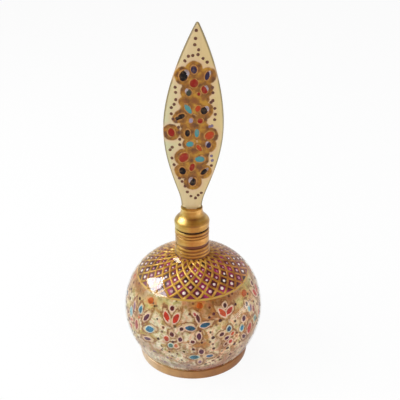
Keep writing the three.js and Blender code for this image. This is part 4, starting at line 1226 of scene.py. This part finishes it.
# Enamel-like colour laid thick on the ochre: deep in the middle, rusty where it thins at the edge.
enamel, tree, output = new_material("thick_enamel_drop")
tint = add(tree, "ShaderNodeAttribute", attribute_name="tint")
climb = add(tree, "ShaderNodeAttribute", attribute_name="rise")
place = add(tree, "ShaderNodeTexCoord").outputs["Object"]
cloud = add(tree, "ShaderNodeTexNoise", {"Vector": place, "Scale": 800.0, "Detail": 2.0})
full = add(tree, "ShaderNodeMath", {0: climb.outputs["Fac"], 1: cloud.outputs["Fac"]}, operation="ADD")
thinness = add(tree, "ShaderNodeMapRange", {0: full.outputs[0], 1: 0.35, 2: 1.0, 3: 0.75, 4: 0.0})
colour = add(tree, "ShaderNodeMix", {0: thinness.outputs[0], 6: tint.outputs["Color"], 7: linear("#8E4C1E")},
             data_type="RGBA")
blotch = add(tree, "ShaderNodeTexNoise", {"Vector": place, "Scale": 480.0, "Detail": 3.0})
patchy = add(tree, "ShaderNodeMapRange", {0: blotch.outputs["Fac"], 1: 0.5, 2: 0.7, 4: 0.22})
uneven = add(tree, "ShaderNodeMix", {0: patchy.outputs[0], 6: colour.outputs[2], 7: linear("#B08A62")},
             data_type="RGBA")
drop_paint = add(tree, "ShaderNodeBsdfPrincipled", {
    "Base Color": uneven.outputs[2], "Roughness": 0.4, "Specular IOR Level": 0.2})
tree.links.new(drop_paint.outputs[0], output.inputs[0])


def leaf_spot(across, height, side):
    """Place on a face of the leaf, front (-1) or back (1), with its directions across, up and out."""
    def skin(x, z):
        middle, half, thickness = leaf_section(z)
        return leaf_place(-side * x, side * thickness * leaf_crown((-side * x - middle) / half), z)

    here = skin(across, height)
    right = (skin(across + 0.1, height) - skin(across - 0.1, height)).normalized()
    up = (skin(across, height + 0.1) - skin(across, height - 0.1)).normalized()
    return here, right, up, right.cross(up).normalized()


drops, dabs, specks = [], [], []
for side in (-1, 1):
    for across, height, _, colour, width, length, turn, glint_side in ROUNDELS:
        spot = leaf_spot(across, height, side)
        drops.append((*spot, turn, width, length, DROP_HEIGHT + 0.08, colour))
        dabs.append((*spot, turn, width + 0.7, length + 0.7, DROP_HEIGHT - 0.06, "#BC8648"))
        # A pale crescent beside and above the drop, painted as its glint: a painted highlight.
        if glint_side:
            beside = leaf_spot(across + glint_side * 0.22 * width, height + 0.14 * length, side)
            dabs.append((*beside, turn + glint_side * 8, 0.8 * width, 0.85 * length, DROP_HEIGHT + 0.03, "#B4A6AC"))
    for marks, colour in ((DOTS, DOT_BROWN), (LILAC_DOTS, DOT_LILAC)):
        for across, height in marks:
            specks.append((*leaf_spot(across, height, side), 0, DOT_SIZE, DOT_SIZE, DROP_HEIGHT, colour))
for name, marks, stroke, paint in (
        ("leaf_dabs", dabs, dot_stroke, gum_colour), ("leaf_drops", drops, dot_stroke, enamel),
        ("leaf_dots", specks, dot_stroke, enamel)):
    piece = brushed(name, marks, stroke, paint, 0.0003)
    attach(piece, "stopper")

# Floor, light and camera
# A pale table that fades to white, a tall soft window at the left, a soft panel behind and one
# low at the right.
FLOOR_HALF = 3.0
FLOOR_LEVEL = -0.00003

table, tree, output = new_material("white_table")
ray = add(tree, "ShaderNodeLightPath")
seen = add(tree, "ShaderNodeMath", {0: ray.outputs["Is Camera Ray"], 1: 0.92}, operation="MULTIPLY")
part = add(tree, "ShaderNodeMath", {0: ray.outputs["Is Glossy Ray"], 1: 0.3, 2: seen.outputs[0]},
           operation="MULTIPLY_ADD")
matt = add(tree, "ShaderNodeBsdfDiffuse", {"Color": linear("#F4F4F4")})
glow = add(tree, "ShaderNodeEmission", {"Color": (1, 1, 1, 1), "Strength": 1.0})
white = add(tree, "ShaderNodeMixShader", {0: part.outputs[0], 1: matt.outputs[0], 2: glow.outputs[0]})
tree.links.new(white.outputs[0], output.inputs[0])
floor = new_piece("floor", [
    (-FLOOR_HALF, -FLOOR_HALF, FLOOR_LEVEL), (FLOOR_HALF, -FLOOR_HALF, FLOOR_LEVEL),
    (FLOOR_HALF, FLOOR_HALF, FLOOR_LEVEL), (-FLOOR_HALF, FLOOR_HALF, FLOOR_LEVEL)], [(0, 1, 2, 3)], table)

sky = bpy.data.worlds.new("white_room")
sky.use_nodes = True
sky.node_tree.nodes.clear()
ray = add(sky.node_tree, "ShaderNodeLightPath")
direct = add(sky.node_tree, "ShaderNodeMath",
             {0: ray.outputs["Is Camera Ray"], 1: ray.outputs["Is Glossy Ray"]}, operation="MAXIMUM")
view = add(sky.node_tree, "ShaderNodeTexCoord").outputs["Generated"]
rise = add(sky.node_tree, "ShaderNodeSeparateXYZ", {0: view})
wall = add(sky.node_tree, "ShaderNodeMapRange", {0: rise.outputs["Z"], 1: 0.1, 2: 0.6, 3: 0.85, 4: 0.12},
           interpolation_type="SMOOTHSTEP")
window_wall = add(sky.node_tree, "ShaderNodeMapRange", {0: rise.outputs["X"], 1: -0.9, 2: 0.0, 3: 0.42, 4: 1.0})
dimmed = add(sky.node_tree, "ShaderNodeMath", {0: wall.outputs[0], 1: window_wall.outputs[0]}, operation="MULTIPLY")
shown = add(sky.node_tree, "ShaderNodeMix", {0: ray.outputs["Is Camera Ray"], 2: dimmed.outputs[0], 3: 1.0})
strength = add(sky.node_tree, "ShaderNodeMix", {0: direct.outputs[0], 2: 0.5, 3: shown.outputs[0]})
room = add(sky.node_tree, "ShaderNodeBackground", {"Color": (1, 1, 1, 1), "Strength": strength.outputs[0]})
add(sky.node_tree, "ShaderNodeOutputWorld", {0: room.outputs[0]})
bpy.context.scene.world = sky


def panel(name, around_angle, elevation, distance, width, height, power, matt=True, gloss=True):
    """A soft rectangular lamp that faces the bulb, placed by angles from the front and the floor."""
    lamp = bpy.data.lights.new(name, "AREA")
    lamp.shape = "RECTANGLE"
    lamp.size, lamp.size_y, lamp.energy = width, height, power
    holder = bpy.data.objects.new(name, lamp)
    bpy.context.scene.collection.objects.link(holder)
    turn, rise = math.radians(around_angle), math.radians(elevation)
    middle = Vector((0, 0, 0.04))
    away = Vector((math.sin(turn) * math.cos(rise), -math.cos(turn) * math.cos(rise), math.sin(rise)))
    holder.location = middle + away * distance
    holder.rotation_euler = away.to_track_quat("Z", "Y").to_euler()
    holder.visible_diffuse, holder.visible_glossy, holder.visible_camera = matt, gloss, False


panel("window_light", -86, 37, 0.42, 0.36, 0.17, 1.08, gloss=False)
panel("fill", 55, 28, 0.6, 0.5, 0.4, 1.2, gloss=False)
panel("back_panel", -164, 49, 0.5, 0.09, 0.1, 0.3)


def glimpse(name, corners, strength):
    """A bright shape in the room that only shows in the gloss, from its corners in metres."""
    material, tree, output = new_material(name)
    light = add(tree, "ShaderNodeEmission", {"Color": linear("#F2F7FF"), "Strength": strength})
    tree.links.new(light.outputs[0], output.inputs[0])
    shape = new_piece(name, corners, [tuple(range(len(corners)))], material)
    shape.visible_camera = shape.visible_diffuse = shape.visible_shadow = False


# Two window panes with a bar between them, as directions from the bulb, and the lit table at the right
FAR_PANE = ((-116, 22), (-105, 52), (-84, 46), (-84, 25.8))
NEAR_PANE = ((-79.5, 44.6), (-54.5, 37.3), (-74, 27.4), (-79.5, 26.5))
WINDOW_DISTANCE = 2.0
LIT_TABLE = ((118, -92), (190, -140), (400, -90), (420, 30), (200, 60), (165, -10))
for name, outline, strength in (("far_pane", FAR_PANE, 20.0), ("near_pane", NEAR_PANE, 12.0)):
    corners = []
    for around_angle, elevation in outline:
        turn, rise = math.radians(around_angle), math.radians(elevation)
        away = Vector((math.sin(turn) * math.cos(rise), -math.cos(turn) * math.cos(rise), math.sin(rise)))
        corners.append(away * WINDOW_DISTANCE + Vector((0, 0, 0.04)))
    glimpse(name, corners, strength)
glimpse("lit_table", [(x * MM, y * MM, 0.2 * MM) for x, y in LIT_TABLE], 3.8)

CAMERA_PITCH = math.radians(26.94)
CAMERA_YAW = math.radians(0.6)
CAMERA_ROLL = math.radians(-0.6)
lens = bpy.data.cameras.new("photo_view")
lens.sensor_width = 36
lens.lens = 81
camera = bpy.data.objects.new("photo_view", lens)
bpy.context.scene.collection.objects.link(camera)
ahead = Vector((math.sin(CAMERA_YAW) * math.cos(CAMERA_PITCH), math.cos(CAMERA_YAW) * math.cos(CAMERA_PITCH),
                -math.sin(CAMERA_PITCH)))
right = Vector((math.cos(CAMERA_YAW), -math.sin(CAMERA_YAW), 0))
up = right.cross(ahead)
tilted_right = right * math.cos(CAMERA_ROLL) + up * math.sin(CAMERA_ROLL)
tilted_up = up * math.cos(CAMERA_ROLL) - right * math.sin(CAMERA_ROLL)
camera.matrix_world = Matrix.Translation((0, -0.3115, 0.2277)) @ Matrix(
    (tilted_right, tilted_up, -ahead)).transposed().to_4x4()
bpy.context.scene.camera = camera
bpy.context.scene.view_settings.view_transform = "Standard"
